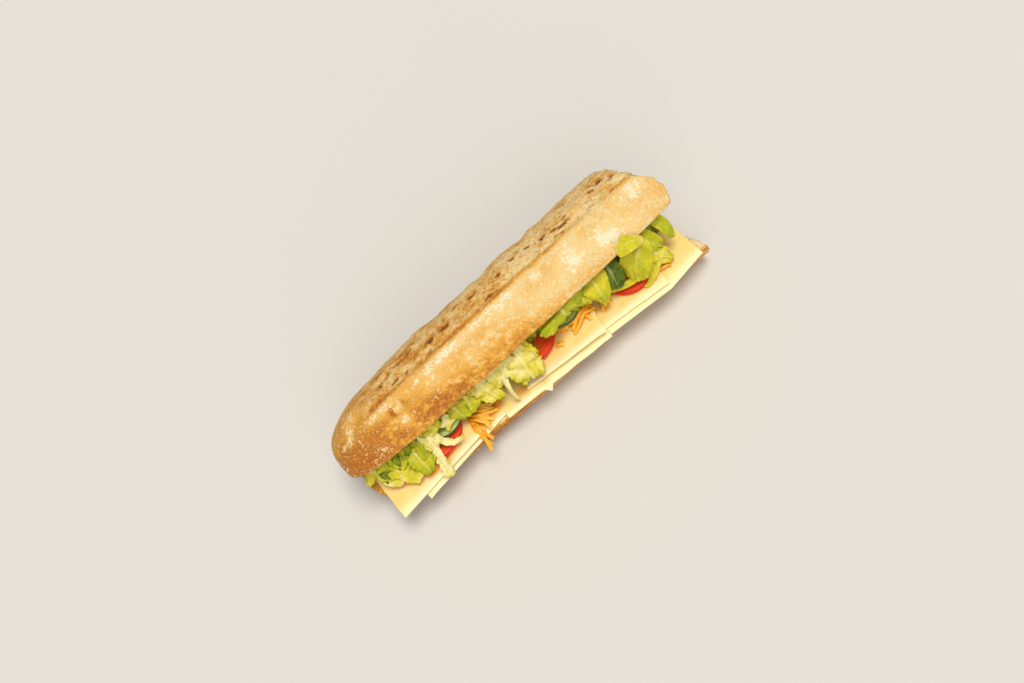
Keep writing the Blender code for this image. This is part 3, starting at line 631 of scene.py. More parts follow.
def kept_value(tree, geometry, name, value):
    """The geometry with a point value stored on it."""
    inputs = {"Geometry": geometry, "Name": name, "Value": value}
    options = {"data_type": "FLOAT", "domain": "POINT"}
    return put(tree, "GeometryNodeStoreNamedAttribute", inputs, **options).outputs[0]


def carried(tree, name):
    """A point value that the geometry carries."""
    inputs = {"Name": name}
    return put(tree, "GeometryNodeInputNamedAttribute", inputs, data_type="FLOAT").outputs["Attribute"]


def random_turn(tree, lean, **inputs):
    """A random rotation: any turn, and a little lean."""
    inputs = {0: (-lean, -lean, 0.0), 1: (lean, lean, 6.283), **inputs}
    turn = put(tree, "FunctionNodeRandomValue", inputs, data_type="FLOAT_VECTOR").outputs[0]
    return put(tree, "FunctionNodeEulerToRotation", {0: turn}).outputs[0]


def noise_value(tree, place, size, detail, **inputs):
    """A Noise Texture's value, with clouds of a size."""
    inputs = {"Vector": place, "Scale": over(tree, 1.0, size), "Detail": detail, **inputs}
    return put(tree, "ShaderNodeTexNoise", inputs).outputs[0]


def stretched(tree, place, factors):
    """A place multiplied along each axis."""
    return put(tree, "ShaderNodeVectorMath", {0: place, 1: factors}, operation="MULTIPLY").outputs[0]


def mottle_group():
    """Shader group: cloudy variation over the surface, stretched as wanted."""
    inputs = [("Size", "Float", 0.005), ("Detail", "Float", 3.0)]
    inputs += [("Stretch", "Vector", (1, 1, 1)), ("Contrast", "Float", 1.0)]
    tree, given, out = new_group("mottle", "ShaderNodeTree", inputs, [("Value", "Float")])
    place = put(tree, "ShaderNodeTexCoord").outputs["Object"]
    cloud = noise_value(tree, stretched(tree, place, given["Stretch"]), given["Size"], given["Detail"])
    spread = times(tree, minus(tree, cloud, 0.5), given["Contrast"])
    tree.links.new(plus(tree, spread, 0.5, clamp=True), out["Value"])
    return tree


def vein_group():
    """Shader group: a middle rib with side veins, on the leaf's own map."""
    inputs = [("Pairs", "Float", 7.0), ("Slope", "Float", 0.9), ("Width", "Float", 0.16)]
    outputs = [("Rib", "Float"), ("Veins", "Float")]
    tree, given, out = new_group("leaf veins", "ShaderNodeTree", inputs, outputs)
    uv = put(tree, "ShaderNodeUVMap", uv_map="leaf").outputs[0]
    wobble = put(tree, "ShaderNodeTexNoise", {"Vector": uv, "Scale": 5.0, "Detail": 2.0}).outputs[0]
    wobble = times(tree, minus(tree, wobble, 0.5), 0.22)
    parts = put(tree, "ShaderNodeSeparateXYZ", {0: uv}).outputs
    aside = unsigned(tree, minus(tree, plus(tree, parts[0], wobble), 0.5))
    fan = minus(tree, parts[1], times(tree, aside, given["Slope"]))
    beat = fraction(tree, times(tree, plus(tree, fan, wobble), given["Pairs"]))
    off = unsigned(tree, minus(tree, beat, 0.5))
    veins = between(tree, off, 0.0, given["Width"], 1.0, 0.0)
    fade = between(tree, aside, 0.02, 0.5, 1.0, 0.25)
    rib_width = times(tree, minus(tree, 1.15, parts[1]), 0.09)
    rib = between(tree, aside, 0.0, rib_width, 1.0, 0.0)
    tree.links.new(rib, out["Rib"])
    tree.links.new(times(tree, veins, fade), out["Veins"])
    return tree


def grouped(tree, group, values):
    """Places a node group in a tree with its values, and gives its outputs."""
    made = put(tree, "ShaderNodeGroup", node_tree=group)
    for name, value in values.items():
        made.inputs[name].default_value = value
    return made.outputs


def mottle(tree, size, detail=3.0, stretch=(1, 1, 1), contrast=1.0):
    """The mottle group's value in a material."""
    values = {"Size": size, "Detail": detail, "Stretch": stretch, "Contrast": contrast}
    return grouped(tree, bpy.data.node_groups.get("mottle") or mottle_group(), values)[0]


def new_material(name):
    """A material and its tree."""
    material = bpy.data.materials.new(name)
    material.use_nodes = True
    return material, material.node_tree


def painted(material, **values):
    """Gives values to the sockets of the material's shader, by their names with underscores for spaces."""
    tree = material.node_tree
    for name, value in values.items():
        give(tree, tree.nodes["Principled BSDF"].inputs[name.replace("_", " ")], value)
    return material


def bump(tree, height, distance, strength=1.0):
    """A Bump node's normal."""
    inputs = {"Height": height, "Distance": distance, "Strength": strength}
    return put(tree, "ShaderNodeBump", inputs).outputs[0]


def crack_group():
    """Shader group: thin wandering lines, as in a crust that split while it baked."""
    inputs = [("Size", "Float", 0.006), ("Width", "Float", 0.02)]
    tree, given, out = new_group("cracks", "ShaderNodeTree", inputs, [("Value", "Float")])
    place = put(tree, "ShaderNodeTexCoord").outputs["Object"]
    cloud = noise_value(tree, place, given["Size"], 5.0, Roughness=0.6)
    off = unsigned(tree, minus(tree, cloud, 0.5))
    tree.links.new(between(tree, off, 0.0, given["Width"], 1.0, 0.0), out["Value"])
    return tree


def cracks(tree, size, width):
    """The crack group's value in a material."""
    values = {"Size": size, "Width": width}
    return grouped(tree, bpy.data.node_groups.get("cracks") or crack_group(), values)[0]


def crust_material(colours):
    """Baked crust, floury and mottled, turning to crumb inside the cut faces, with painted shade in its
    holes, pores and crumb holes.
    """
    material, tree = new_material("baked crust")
    score, inside = attribute(tree, "score"), attribute(tree, "inside")
    pit, baked, floury = attribute(tree, "pit"), attribute(tree, "baked"), attribute(tree, "floury")
    broad, small = mottle(tree, 0.010, 4.0, contrast=1.8), mottle(tree, 0.0022, 4.0, contrast=2.4)
    fine = mottle(tree, 0.0009, 2.0, contrast=2.2)

    middle = mottle(tree, 0.0048, 4.0, contrast=2.2)
    doneness = varied(tree, baked, (broad, 0.50), (middle, 0.50), (small, 0.46), (fine, 0.36))
    stops = ((0.0, colours.pale_crust), (0.42, colours.golden_crust), (0.95, colours.dark_crust))
    crust = ramp(tree, doneness, stops)
    splits = times(tree, cracks(tree, 0.009, 0.016), between(tree, broad, 0.5, 0.75, 0.0, 0.6))
    crust = blended(tree, splits, crust, CRUST_SPLIT)
    cloud = mottle(tree, 0.0065, 5.0, stretch=(0.6, 1.0, 1.0), contrast=2.6)
    torn_value = varied(tree, baked, (cloud, 0.85), (small, 0.50), (fine, 0.28))
    torn = ramp(tree, torn_value, (*TORN_COLOURS, (1.0, colours.dark_crust)))
    torn = blended(tree, times(tree, cracks(tree, 0.007, 0.03), 0.55), torn, TORN_SPLIT)
    pale = mottle(tree, 0.008, 3.0, contrast=3.0)
    torn = blended(tree, between(tree, pale, 0.62, 0.95, 0.0, 0.6), torn, PALE_TORN)
    colour = blended(tree, score, crust, torn)
    freckles = times(tree, between(tree, small, 0.80, 1.0), between(tree, floury, 0.2, 0.7, 0.45, 0.0))
    colour = blended(tree, freckles, colour, FRECKLE)
    # Painted shade in the holes and pores: browner at their rims, darkest deep inside
    colour = blended(tree, between(tree, pit, 0.0, 0.5, 0.0, 0.75), colour, HOLE_RIM_SHADE)
    colour = blended(tree, between(tree, pit, 0.4, 0.95, 0.0, 0.9), colour, HOLE_SHADE)
    cover = times(tree, floury, 0.62)
    cover = varied(tree, cover, (middle, 0.40), (small, 0.40), (fine, 0.40), (broad, 0.30))
    dust = between(tree, cover, 0.14, 0.80, 0.0, 0.95)
    dust = times(tree, dust, between(tree, pit, 0.0, 0.3, 1.0, 0.0))
    dust = times(tree, dust, between(tree, score, 0.0, 1.0, 1.0, 0.55))
    colour = blended(tree, between(tree, dust, 0.0, 0.4, 0.0, 0.75), colour, colours.thin_flour)
    colour = blended(tree, between(tree, dust, 0.3, 1.0), colour, colours.flour)
    crumb = blended(tree, small, colours.crumb, tuple(channel * 0.86 for channel in colours.crumb))
    # Painted shade in the holes of the crumb
    crumb = blended(tree, between(tree, pit, 0.1, 1.0, 0.0, 0.6), crumb, CRUMB_HOLE_SHADE)
    colour = blended(tree, between(tree, inside, 0.25, 1.0), colour, crumb)
    rough = varied(tree, between(tree, dust, 0.0, 1.0, 0.58, 0.85), (small, 0.15))
    relief = varied(tree, small, (fine, 0.8))
    return painted(
        material,
        Base_Color=colour, Roughness=rough, Normal=bump(tree, relief, 0.0006, 0.9),
        Specular_IOR_Level=0.2,
    )


def cheese_material(colours):
    """Smooth, slightly waxy cheese with faint clouds, tiny marks, stains from the filling and a painted
    highlight along the front edge.
    """
    material, tree = new_material("cheese")
    stained = attribute(tree, "tone")
    cloud, marks = mottle(tree, 0.014, 3.0, contrast=2.0), mottle(tree, 0.0012, 2.0, contrast=1.4)
    colour = blended(tree, cloud, colours.colour, colours.pale)
    # Painted highlight: paler along the front edge of each slice
    colour = blended(tree, times(tree, attribute(tree, "veined"), 0.7), colour, CHEESE_PAINTED_HIGHLIGHT)
    colour = blended(tree, between(tree, marks, 0.78, 1.0, 0.0, 0.35), colour, CHEESE_MARK)
    blot = varied(tree, stained, (cloud, 0.3))
    colour = blended(tree, between(tree, blot, 0.2, 0.9, 0.0, 0.85), colour, CHEESE_STAIN)
    rough = plus(tree, 0.36, times(tree, marks, 0.2))
    return painted(
        material,
        Base_Color=colour, Roughness=rough, Normal=bump(tree, marks, 0.0002, 0.35),
        Specular_IOR_Level=0.3, Subsurface_Weight=0.2, Subsurface_Radius=(1.0, 0.6, 0.25),
        Subsurface_Scale=0.002,
    )


def tomato_material(colours):
    """Moist cut tomato: flesh, seed pockets and a skin round the rim."""
    material, tree = new_material("tomato")
    skin, pocket = attribute(tree, "rind"), attribute(tree, "pocket")
    cloud, fine = mottle(tree, 0.004, 3.0, contrast=1.6), mottle(tree, 0.0006, 2.0)
    paler = tuple(min(1.0, channel * 1.25 + 0.02) for channel in colours.tomato_flesh)
    flesh = blended(tree, cloud, colours.tomato_flesh, paler)
    colour = blended(tree, pocket, flesh, colours.tomato_gel)
    colour = blended(tree, skin, colour, colours.tomato_skin)
    rough = between(tree, fine, 0.2, 0.8, 0.18, 0.36)
    return painted(
        material,
        Base_Color=colour, Roughness=rough, Normal=bump(tree, fine, 0.0002, 0.4),
        Subsurface_Weight=0.15, Subsurface_Scale=0.002, Specular_IOR_Level=0.18, Coat_Weight=0.05,
        Coat_Roughness=0.15,
    )


def cucumber_material(colours):
    """Pale moist flesh, a translucent seed ring and a dark rind."""
    material, tree = new_material("cucumber")
    skin, pocket = attribute(tree, "rind"), attribute(tree, "pocket")
    cloud, fine = mottle(tree, 0.003, 3.0, contrast=1.6), mottle(tree, 0.0006, 2.0)
    darker = tuple(channel * 0.72 for channel in colours.cucumber_flesh)
    flesh = blended(tree, cloud, colours.cucumber_flesh, darker)
    flesh = blended(tree, times(tree, pocket, 0.6), flesh, CUCUMBER_POCKET)
    rim = blended(tree, cloud, colours.cucumber_skin, CUCUMBER_RIM)
    colour = blended(tree, between(tree, skin, 0.3, 0.8), flesh, rim)
    rough = between(tree, fine, 0.2, 0.8, 0.2, 0.4)
    return painted(
        material,
        Base_Color=colour, Roughness=rough, Normal=bump(tree, fine, 0.0002, 0.4),
        Subsurface_Weight=0.15, Subsurface_Scale=0.002,
    )


def seed_material():
    """Pale, slippery seeds."""
    material, tree = new_material("seeds")
    colour = blended(tree, mottle(tree, 0.0008, 2.0, contrast=1.5), *SEED_COLOURS)
    return painted(material, Base_Color=colour, Roughness=0.3)


def carrot_material(colours):
    """Grated carrot: paler at the ends, with fine fibres along it."""
    material, tree = new_material("carrot")
    along = attribute(tree, "along")
    cloud = mottle(tree, 0.0025, 3.0, contrast=1.8)
    fibre = mottle(tree, 0.0008, 2.0, stretch=(0.6, 1.0, 1.0), contrast=1.5)
    tipness = times(tree, between(tree, along, 0.35, 1.0), 0.75)
    tipness = plus(tree, tipness, times(tree, minus(tree, cloud, 0.5), 0.7), clamp=True)
    colour = blended(tree, tipness, colours.carrot, colours.carrot_tip)
    rough = between(tree, fibre, 0.2, 0.8, 0.3, 0.5)
    return painted(
        material,
        Base_Color=colour, Roughness=rough, Normal=bump(tree, fibre, 0.00025, 0.6),
        Subsurface_Weight=0.15, Subsurface_Scale=0.002,
    )


def lettuce_material(colours):
    """Thin fresh leaf: white ribs and veins, puckered between them, paler inside the head."""
    material, tree = new_material("lettuce")
    tone, veined = attribute(tree, "tone"), attribute(tree, "veined")
    veins = grouped(tree, vein_group(), {"Pairs": 5.0, "Width": 0.10})
    rib, branches = veins["Rib"], veins["Veins"]
    cloud, fine = mottle(tree, 0.0055, 3.0, contrast=2.0), mottle(tree, 0.0012, 3.0, contrast=1.4)
    shade = varied(tree, tone, (cloud, 0.26), (fine, 0.08))
    stops = ((0.0, colours.rib), (0.24, colours.pale_leaf), (0.50, colours.leaf), (1.0, colours.dark_leaf))
    leaf = ramp(tree, shade, stops)
    vein = larger(tree, times(tree, rib, 0.55), times(tree, branches, 0.26))
    colour = blended(tree, times(tree, vein, veined), leaf, colours.rib)
    raised = times(tree, larger(tree, rib, branches), veined)
    height = plus(tree, times(tree, raised, 0.6), times(tree, fine, 0.5))
    rough = between(tree, fine, 0.2, 0.8, 0.32, 0.48)
    return painted(
        material,
        Base_Color=colour, Roughness=rough, Normal=bump(tree, height, 0.0003, 0.5),
        Specular_IOR_Level=0.2, Subsurface_Weight=0.3, Subsurface_Radius=(0.8, 1.0, 0.25),
        Subsurface_Scale=0.002,
    )


def floor_material(colour):
    """A plain pale floor with a faint cloudiness."""
    material, tree = new_material("pale floor")
    darker = tuple(channel * 0.985 for channel in colour)
    colour = blended(tree, mottle(tree, 0.09, 2.0), colour, darker)
    return painted(material, Base_Color=colour, Roughness=0.8)


def smooth_step(value, start, end):
    """0 before start, 1 after end, and a smooth rise between."""
    share = max(0.0, min(1.0, (value - start) / (end - start)))
    return share * share * (3 - 2 * share)


def linked_object(name, mesh, material, smooth=True):
    """An object of the scene with its mesh and material."""
    obj = bpy.data.objects.new(name, mesh)
    bpy.context.scene.collection.objects.link(obj)
    mesh.materials.clear()
    mesh.materials.append(material)
    for polygon in mesh.polygons:
        polygon.use_smooth = smooth
    return obj


def finished_by_nodes(obj, tree, values):
    """Runs a geometry tree on the object and keeps the result as its plain mesh."""
    modifier = obj.modifiers.new(tree.name, "NODES")
    modifier.node_group = tree
    for item in tree.interface.items_tree:
        if item.item_type == "SOCKET" and item.in_out == "INPUT" and item.name in values:
            modifier[item.identifier] = values[item.name]
    obj.update_tag()
    bpy.context.view_layer.update()
    mesh = bpy.data.meshes.new_from_object(obj.evaluated_get(bpy.context.evaluated_depsgraph_get()))
    name = obj.name
    bpy.data.objects.remove(obj)
    mesh.name = name
    made = bpy.data.objects.new(name, mesh)
    bpy.context.scene.collection.objects.link(made)
    return made


def hand_over(obj, slot, *nodes):
    """The piece rides on the body and stands for its solids. The slot is not used."""
    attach(obj, BODY)
    if nodes:
        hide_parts(*nodes)


def add_piece(name, mesh, material, slot, *nodes):
    """A finished piece of the scene, handed over."""
    hand_over(linked_object(name, mesh, material), slot, *nodes)


def mesh_of(bm, mesh):
    """Writes the edited faces to a mesh, given itself or by its name."""
    if isinstance(mesh, str):
        mesh = bpy.data.meshes.new(mesh)
    bm.to_mesh(mesh)
    bm.free()
    return mesh


def facing_out(bm):
    """Turns all normals of a closed mesh outward."""
    bmesh.ops.recalc_face_normals(bm, faces=bm.faces)
    if bm.calc_volume(signed=True) < 0:
        bmesh.ops.reverse_faces(bm, faces=bm.faces)


def edited(mesh):
    """The faces of a mesh, ready to be edited."""
    bm = bmesh.new()
    bm.from_mesh(mesh)
    return bm


def carry(mesh, name, values):
    """Stores a value for each point of a mesh."""
    mesh.attributes.new(name, "FLOAT", "POINT").data.foreach_set("value", values)


def width_share(x, far_end):
    """Share of the loaf's full width at x."""
    if x <= WIDEST_X:
        reach, exponent = (WIDEST_X - x) / ROUND_END_LENGTH, ROUND_END_EXPONENT
    else:
        reach, exponent = (x - WIDEST_X) / far_end.length, far_end.exponent
    return max(0.0, 1 - min(1.0, reach) ** exponent) ** (1 / exponent)


def in_score(x, around):
    """1 inside the score along the top of the loaf, 0 outside it. Its front lip wanders a little."""
    front = SCORE_FRONT + math.radians(3.0) * noise.noise(Vector((x / 15.0, 3.1, 0.0)))
    front += math.radians(3.0) * noise.noise(Vector((x / 4.0, 8.1, 0.0)))
    share = smooth_step(around, SCORE_BACK, SCORE_BACK + SCORE_EDGE_SOFTNESS)
    share *= 1 - smooth_step(around, front - SCORE_EDGE_SOFTNESS, front)
    return share * smooth_step(x, SCORE_TIP_X, SCORE_TIP_X + SCORE_FADE)


def crust_relief(x, around, score):
    """How far the crust stands out: broad lumps, and the rough, sunken score."""
    place = Vector((x, math.cos(around) * LOAF_HALF_WIDTH, math.sin(around) * LOAF_CROWN))
    relief = CRUST_LUMP * noise.noise(place / CRUST_LUMP_SIZE)
    if math.sin(around) <= 0:
        return relief * 0.5
    rough = SCORE_LUMP * noise.noise(place / SCORE_LUMP_SIZE)
    return relief + score * (rough - SCORE_DEPTH)


def patch_sum(patches, x, around):
    """Sum of the soft patches of a table at a place on the crust."""
    total = 0.0
    for centre, angle, length, width, strength in patches:
        ahead = (x - centre) / length
        if abs(ahead) < 2.2:
            aside = (around - math.radians(angle)) * LOAF_HALF_WIDTH / width
            total += strength * math.exp(-(ahead**2) - aside**2)
    return total


def hole_depth(x, around):
    """Depth of the torn holes at a place on the crust, and how much painted shade they get."""
    depth = dark = 0.0
    for centre, angle, length, width, deep in CRUST_HOLES:
        ahead = (x - centre) / length
        if abs(ahead) < 1.6:
            aside = (around - math.radians(angle)) * LOAF_HALF_WIDTH / width
            ragged = 0.75 * noise.noise(Vector((x, around * LOAF_HALF_WIDTH, centre)) / 1.7)
            share = smooth_step(1.35 - math.hypot(ahead, aside) + ragged, 0.0, 0.7)
            depth = max(depth, deep * share)
            dark = max(dark, share * (0.12 if centre == CRUST_HOLES[0][0] else 0.85))
    return depth, dark


def end_cut(y, z):
    """X of the slanting far end at a place across it."""
    height = max(0.0, z - KNIFE_HEIGHT)
    x = END_CUT_X - END_CUT_SLANT * (y + LOAF_HALF_WIDTH) - END_CUT_LEAN * height**2
    x -= END_CUT_RIM_RECESS * math.exp(-height / END_CUT_RIM_REACH)
    place = Vector((y, z - KNIFE_HEIGHT, 0))
    teeth = TOOTH + TOP_TOOTH * smooth_step(height, 14, 22)
    torn = teeth * noise.noise(place / 2.3) + 0.5 * teeth * noise.noise(place / 1.1)
    torn += 2.2 * math.exp(-(((height - 13) / 7) ** 2)) * smooth_step(-y, 5, 20)
    return x + noise.noise(place / END_CUT_GRAIN) * END_CUT_ROUGHNESS + torn


def loaf_point(x, around, far_end):
    """Place on the whole loaf, with the values that the crust carries there."""
    share = width_share(x, far_end)
    upper = math.sin(around) > 0
    score = in_score(x, around) if upper else 0.0
    relief = crust_relief(x, around, score) * min(1.0, share * 2)
    deep, dark = hole_depth(x, around) if upper else (0.0, 0.0)
    relief -= deep
    rise = math.sin(around)
    y = (LOAF_HALF_WIDTH + relief) * share * math.cos(around)
    if rise >= 0:
        z = WAIST_HEIGHT + (LOAF_CROWN + relief) * share * rise
    else:
        z = max(0.0, WAIST_HEIGHT - LOAF_BELLY * share * abs(rise) ** BELLY_EXPONENT)
    return (x, y, z), score, dark


def ring_shares(rings, far_end):
    """Evenly spaced places from the round tip to the far end, as shares of that length."""
    dense = np.linspace(0, 1, LENGTH_SAMPLES) ** 3
    length = END_CUT_X - TIP_X
    share = np.array([width_share(TIP_X + length * value, far_end) for value in dense])
    steps = np.hypot(np.diff(dense * length), np.diff(share * LOAF_HALF_WIDTH))
    run = np.concatenate(([0.0], np.cumsum(steps)))
    return np.interp(np.linspace(0, run[-1], rings + 1), run, dense)


def baking(place, around, score, upper):
    """How far the crust is baked at a place, and how floury it is."""
    x = place[0]
    if upper:
        baked = 0.34 - 0.20 * smooth_step(x, -60, 60) + patch_sum(BAKED_PATCHES, x, around)
        floury = patch_sum(FLOUR_PATCHES, x, around) * (1 - 0.4 * score)
        floury += 0.06 + 0.26 * smooth_step(-x, 80, 104) + 0.12 * smooth_step(x, 20, 70)
    else:
        baked = 0.85 + 0.25 * noise.noise(Vector(place) / 18)
        # Darker towards the round end: baked more there, and partly painted shade on that end of the lower
        # half
        baked += 0.4 * smooth_step(-x, 85, 108) - 0.4 * smooth_step(x, -85, 40)
        floury = 0.08 + 0.6 * noise.noise(Vector(place) / 12)
    return baked, max(0.0, min(1.0, floury))


def half_loaf_place(upper):
    """Where a half lies: the upper one turned open on its hinge, the lower one turned a little in plan."""
    if upper:
        turn = Matrix.Translation((0, HINGE_Y, HINGE_Z)) @ Matrix.Rotation(-OPENING_ANGLE, 4, "X")
        return turn @ Matrix.Translation((0, -HINGE_Y, -KNIFE_HEIGHT))
    turn = Matrix.Translation((LOWER_HALF_PIVOT_X, 0, 0)) @ Matrix.Rotation(LOWER_HALF_TURN, 4, "Z")
    return turn @ Matrix.Translation((LOWER_HALF_SHIFT - LOWER_HALF_PIVOT_X, 0, 0))


def half_loaf_mesh(name, upper):
    """One half of the loaf as a closed mesh: crust, cut face, far end and tip, with the crust's values."""
    far_end = UPPER_FAR_END if upper else LOWER_FAR_END
    bm = bmesh.new()
    layers = {key: bm.verts.layers.float.new(key) for key in ("score", "inside", "baked", "floury", "pit")}

    def add(place, score=0.0, inside=0.0, baked=0.0, floury=0.0, pit=0.0):
        vertex = bm.verts.new(place)
        for key, value in zip(layers, (score, inside, baked, floury, pit)):
            vertex[layers[key]] = value
        return vertex

    def angle_at(x, column):
        crown = max(1e-6, LOAF_CROWN * width_share(x, far_end))
        sill = math.asin(min(1.0, (KNIFE_HEIGHT - WAIST_HEIGHT) / crown))
        if upper:
            return sill + (math.pi - 2 * sill) * column / LOAF_COLUMNS
        return math.pi - sill + (math.pi + 2 * sill) * column / LOAF_COLUMNS

    ends = []
    for column in range(LOAF_COLUMNS + 1):
        x = x_flat = END_CUT_X - 8
        for _ in range(END_ROUNDS):
            (_, y, z), _, _ = loaf_point(x, angle_at(x, column), far_end)
            z = KNIFE_HEIGHT if column in (0, LOAF_COLUMNS) else z
            x, x_flat = end_cut(y, z), end_cut(y, KNIFE_HEIGHT)
        ends.append((x, x_flat))
    crust, flat = [], []
    for share in ring_shares(LOAF_RINGS, far_end):
        crust_row, flat_row = [], []
        for column, (x_end, x_end_flat) in enumerate(ends):
            x = TIP_X + TIP_GAP + (x_end - TIP_X) * share
            around = angle_at(x, column)
            (x, y, z), score, dark = loaf_point(x, around, far_end)
            rim = column in (0, LOAF_COLUMNS)
            z = KNIFE_HEIGHT if rim else z
            baked, floury = baking((x, y, z), around, score, upper)
            crust_row.append(add((x, y, z), score, 0.0, baked, floury, dark))
            if rim:
                flat_row.append(crust_row[-1])
                continue
            x_flat = TIP_X + TIP_GAP + (x_end_flat - TIP_X) * share
            depth = min(LOAF_HALF_WIDTH * width_share(x_flat, far_end) - abs(y), x_flat - TIP_X)
            skin = 1.0 if upper else 1 + 5 * smooth_step(-x, 95, 112)
            inside = smooth_step(depth, 0.4 * skin, CRUST_THICKNESS * skin)
            flat_row.append(add((x_flat, y, KNIFE_HEIGHT), 0.0, inside, CUT_BAKED))
        crust.append(crust_row)
        flat.append(flat_row)
    end = []
    for row in range(END_ROWS + 1):
        share = row / END_ROWS
        end_row = []
        for column in range(LOAF_COLUMNS + 1):
            low, high = flat[-1][column], crust[-1][column]
            if row in (0, END_ROWS) or column in (0, LOAF_COLUMNS):
                end_row.append(high if row == END_ROWS else low)
                continue
            place = low.co.lerp(high.co, share)
            depth = min(abs(high.co.z - place.z), 1.2 * (LOAF_HALF_WIDTH * 0.9 - abs(place.y)))
            inside = smooth_step(depth, 0.3, CRUST_THICKNESS)
            end_row.append(add((end_cut(place.y, place.z), place.y, place.z), 0.0, inside, CUT_BAKED))
        end.append(end_row)
    tip = [crust[0]]
    for row in range(1, TIP_ROWS):
        tip_row = []
        for column, (high, low) in enumerate(zip(crust[0], flat[0])):
            if column not in (0, LOAF_COLUMNS):
                place = high.co.lerp(low.co, row / TIP_ROWS)
                high = add(place, 0.0, 0.0, high[layers["baked"]], high[layers["floury"]])
            tip_row.append(high)
        tip.append(tip_row)
    tip.append(flat[0])
    for grid in (crust, flat, end, tip):
        for near, far in zip(grid, grid[1:]):
            for a, b, c, d in zip(near, near[1:], far[1:], far):
                corners = list(dict.fromkeys((a, b, c, d)))
                if len(corners) > 2 and not bm.faces.get(corners):
                    bm.faces.new(corners)
    facing_out(bm)
    bm.transform(Matrix.Scale(MM, 4) @ half_loaf_place(upper))
    return mesh_of(bm, name)


def bread_relief_tree():
    """Geometry tree: raises the grain, opens pores in the score and holes in the crumb, and stores them with
    the torn holes as painted shade.
    """
    inputs = [(name, "Float", size) for name, size in RELIEF_SIZES.items()]
    tree, given, out = geometry_tree("bread relief", inputs)
    place = put(tree, "GeometryNodeInputPosition").outputs[0]

    def clouds(size, detail):
        """Clouds around 0."""
        return minus(tree, noise_value(tree, place, size, detail), 0.5)

    def holes(size, stretch, least, most):
        """Cavities of uneven outline: 1 in the middle of a hole, 0 outside."""
        where = stretched(tree, place, stretch)
        return between(tree, noise_value(tree, where, size, 1.5, Roughness=0.55), least, most)

    score, inside, pit = (carried(tree, name) for name in ("score", "inside", "pit"))
    grain = times(tree, plus(tree, clouds(0.0013, 2.0), clouds(0.0035, 2.0)), given["Grain Height"])
    rough = times(tree, clouds(0.0028, 4.0), times(tree, given["Pore Depth"], 1.1))
    grain = plus(tree, grain, times(tree, rough, plus(tree, score, inside)))
    pores = times(tree, holes(given["Pore Size"], (0.6, 1.0, 1.0), 0.63, 0.74), score)
    crumb = holes(given["Crumb Size"], (1.0, 1.0, 1.0), 0.56, 0.70)
    tiny = holes(times(tree, given["Crumb Size"], 0.42), (1.0, 1.0, 1.0), 0.56, 0.70)
    crumb = times(tree, plus(tree, crumb, times(tree, tiny, 0.45)), inside)
    dips = times(tree, pores, given["Pore Depth"])
    height = minus(tree, grain, plus(tree, dips, times(tree, crumb, given["Crumb Depth"])))
    normal = put(tree, "GeometryNodeInputNormal").outputs[0]
    offset = put(tree, "ShaderNodeVectorMath", {0: normal, "Scale": height}, operation="SCALE").outputs[0]
    dark = larger(tree, pit, larger(tree, times(tree, pores, 0.75), crumb))
    stored = kept_value(tree, given["Geometry"], "pit", dark)
    moved = put(tree, "GeometryNodeSetPosition", {"Geometry": stored, "Offset": offset})
    return ended(tree, given, out, moved.outputs[0])


def crust_flake_tree():
    """Geometry tree: scatters small bent flakes over the scored crust."""
    inputs = [("Flake", "Object", None), ("Per Square Metre", "Float", 100000.0), ("Seed", "Int", 3)]
    tree, given, out = geometry_tree("crust flakes", inputs)
    density = times(tree, carried(tree, "score"), given["Per Square Metre"])
    spread = put(
        tree, "GeometryNodeDistributePointsOnFaces",
        {"Mesh": given["Geometry"], "Density": density, "Seed": given["Seed"]}, distribute_method="RANDOM",
    )
    flake = put(tree, "GeometryNodeObjectInfo", {"Object": given["Flake"]}).outputs["Geometry"]
    sizes = {2: 0.35, 3: 1.0, "Seed": given["Seed"]}
    size = put(tree, "FunctionNodeRandomValue", sizes, data_type="FLOAT").outputs[1]
    turned = put(
        tree,
        "FunctionNodeRotateRotation",
        {0: spread.outputs["Rotation"], 1: random_turn(tree, 0.25)},
        rotation_space="LOCAL",
    ).outputs[0]
    inputs = {"Points": spread.outputs["Points"], "Instance": flake, "Rotation": turned, "Scale": size}
    placed = put(tree, "GeometryNodeInstanceOnPoints", inputs)
    return ended(tree, given, out, placed.outputs[0])


def flake_object():
    """One flake of crust, a millimetre long, slightly bent and closed."""
    bm = bmesh.new()
    radii = {"radius1": 0.75 * MM, "radius2": 0.5 * MM}
    bmesh.ops.create_cone(bm, cap_ends=True, segments=5, depth=0.3 * MM, **radii)
    for vertex in bm.verts:
        vertex.co.y *= 0.6
        vertex.co.z += 60 * vertex.co.x**2 + 0.05 * MM
    flake = bpy.data.objects.new("flake", mesh_of(bm, "flake"))
    bpy.context.scene.collection.objects.link(flake)
    return flake


def thick_sheet(points, thickness):
    """A closed thin solid from a grid of places and its thickness there: (vertices, faces)."""
    rows, columns = points.shape[:2]
    normal = np.cross(np.gradient(points, axis=1), np.gradient(points, axis=0))
    normal /= np.maximum(1e-9, np.linalg.norm(normal, axis=2, keepdims=True))
    half = normal * thickness[..., None] / 2
    vertices = np.concatenate(((points + half).reshape(-1, 3), (points - half).reshape(-1, 3)))
    index = np.arange(rows * columns).reshape(rows, columns)
    under = index + rows * columns
    a, b, c, d = index[:-1, :-1], index[:-1, 1:], index[1:, 1:], index[1:, :-1]
    faces = [np.stack((a, b, c, d), -1).reshape(-1, 4)]
    a, b, c, d = under[:-1, :-1], under[1:, :-1], under[1:, 1:], under[:-1, 1:]
    faces.append(np.stack((a, b, c, d), -1).reshape(-1, 4))
    loop = np.concatenate((index[0, :-1], index[:-1, -1], index[-1, :0:-1], index[:0:-1, 0]))
    following = np.roll(loop, -1)
    faces.append(np.stack((following, loop, loop + rows * columns, following + rows * columns), -1))
    return vertices, np.concatenate(faces)


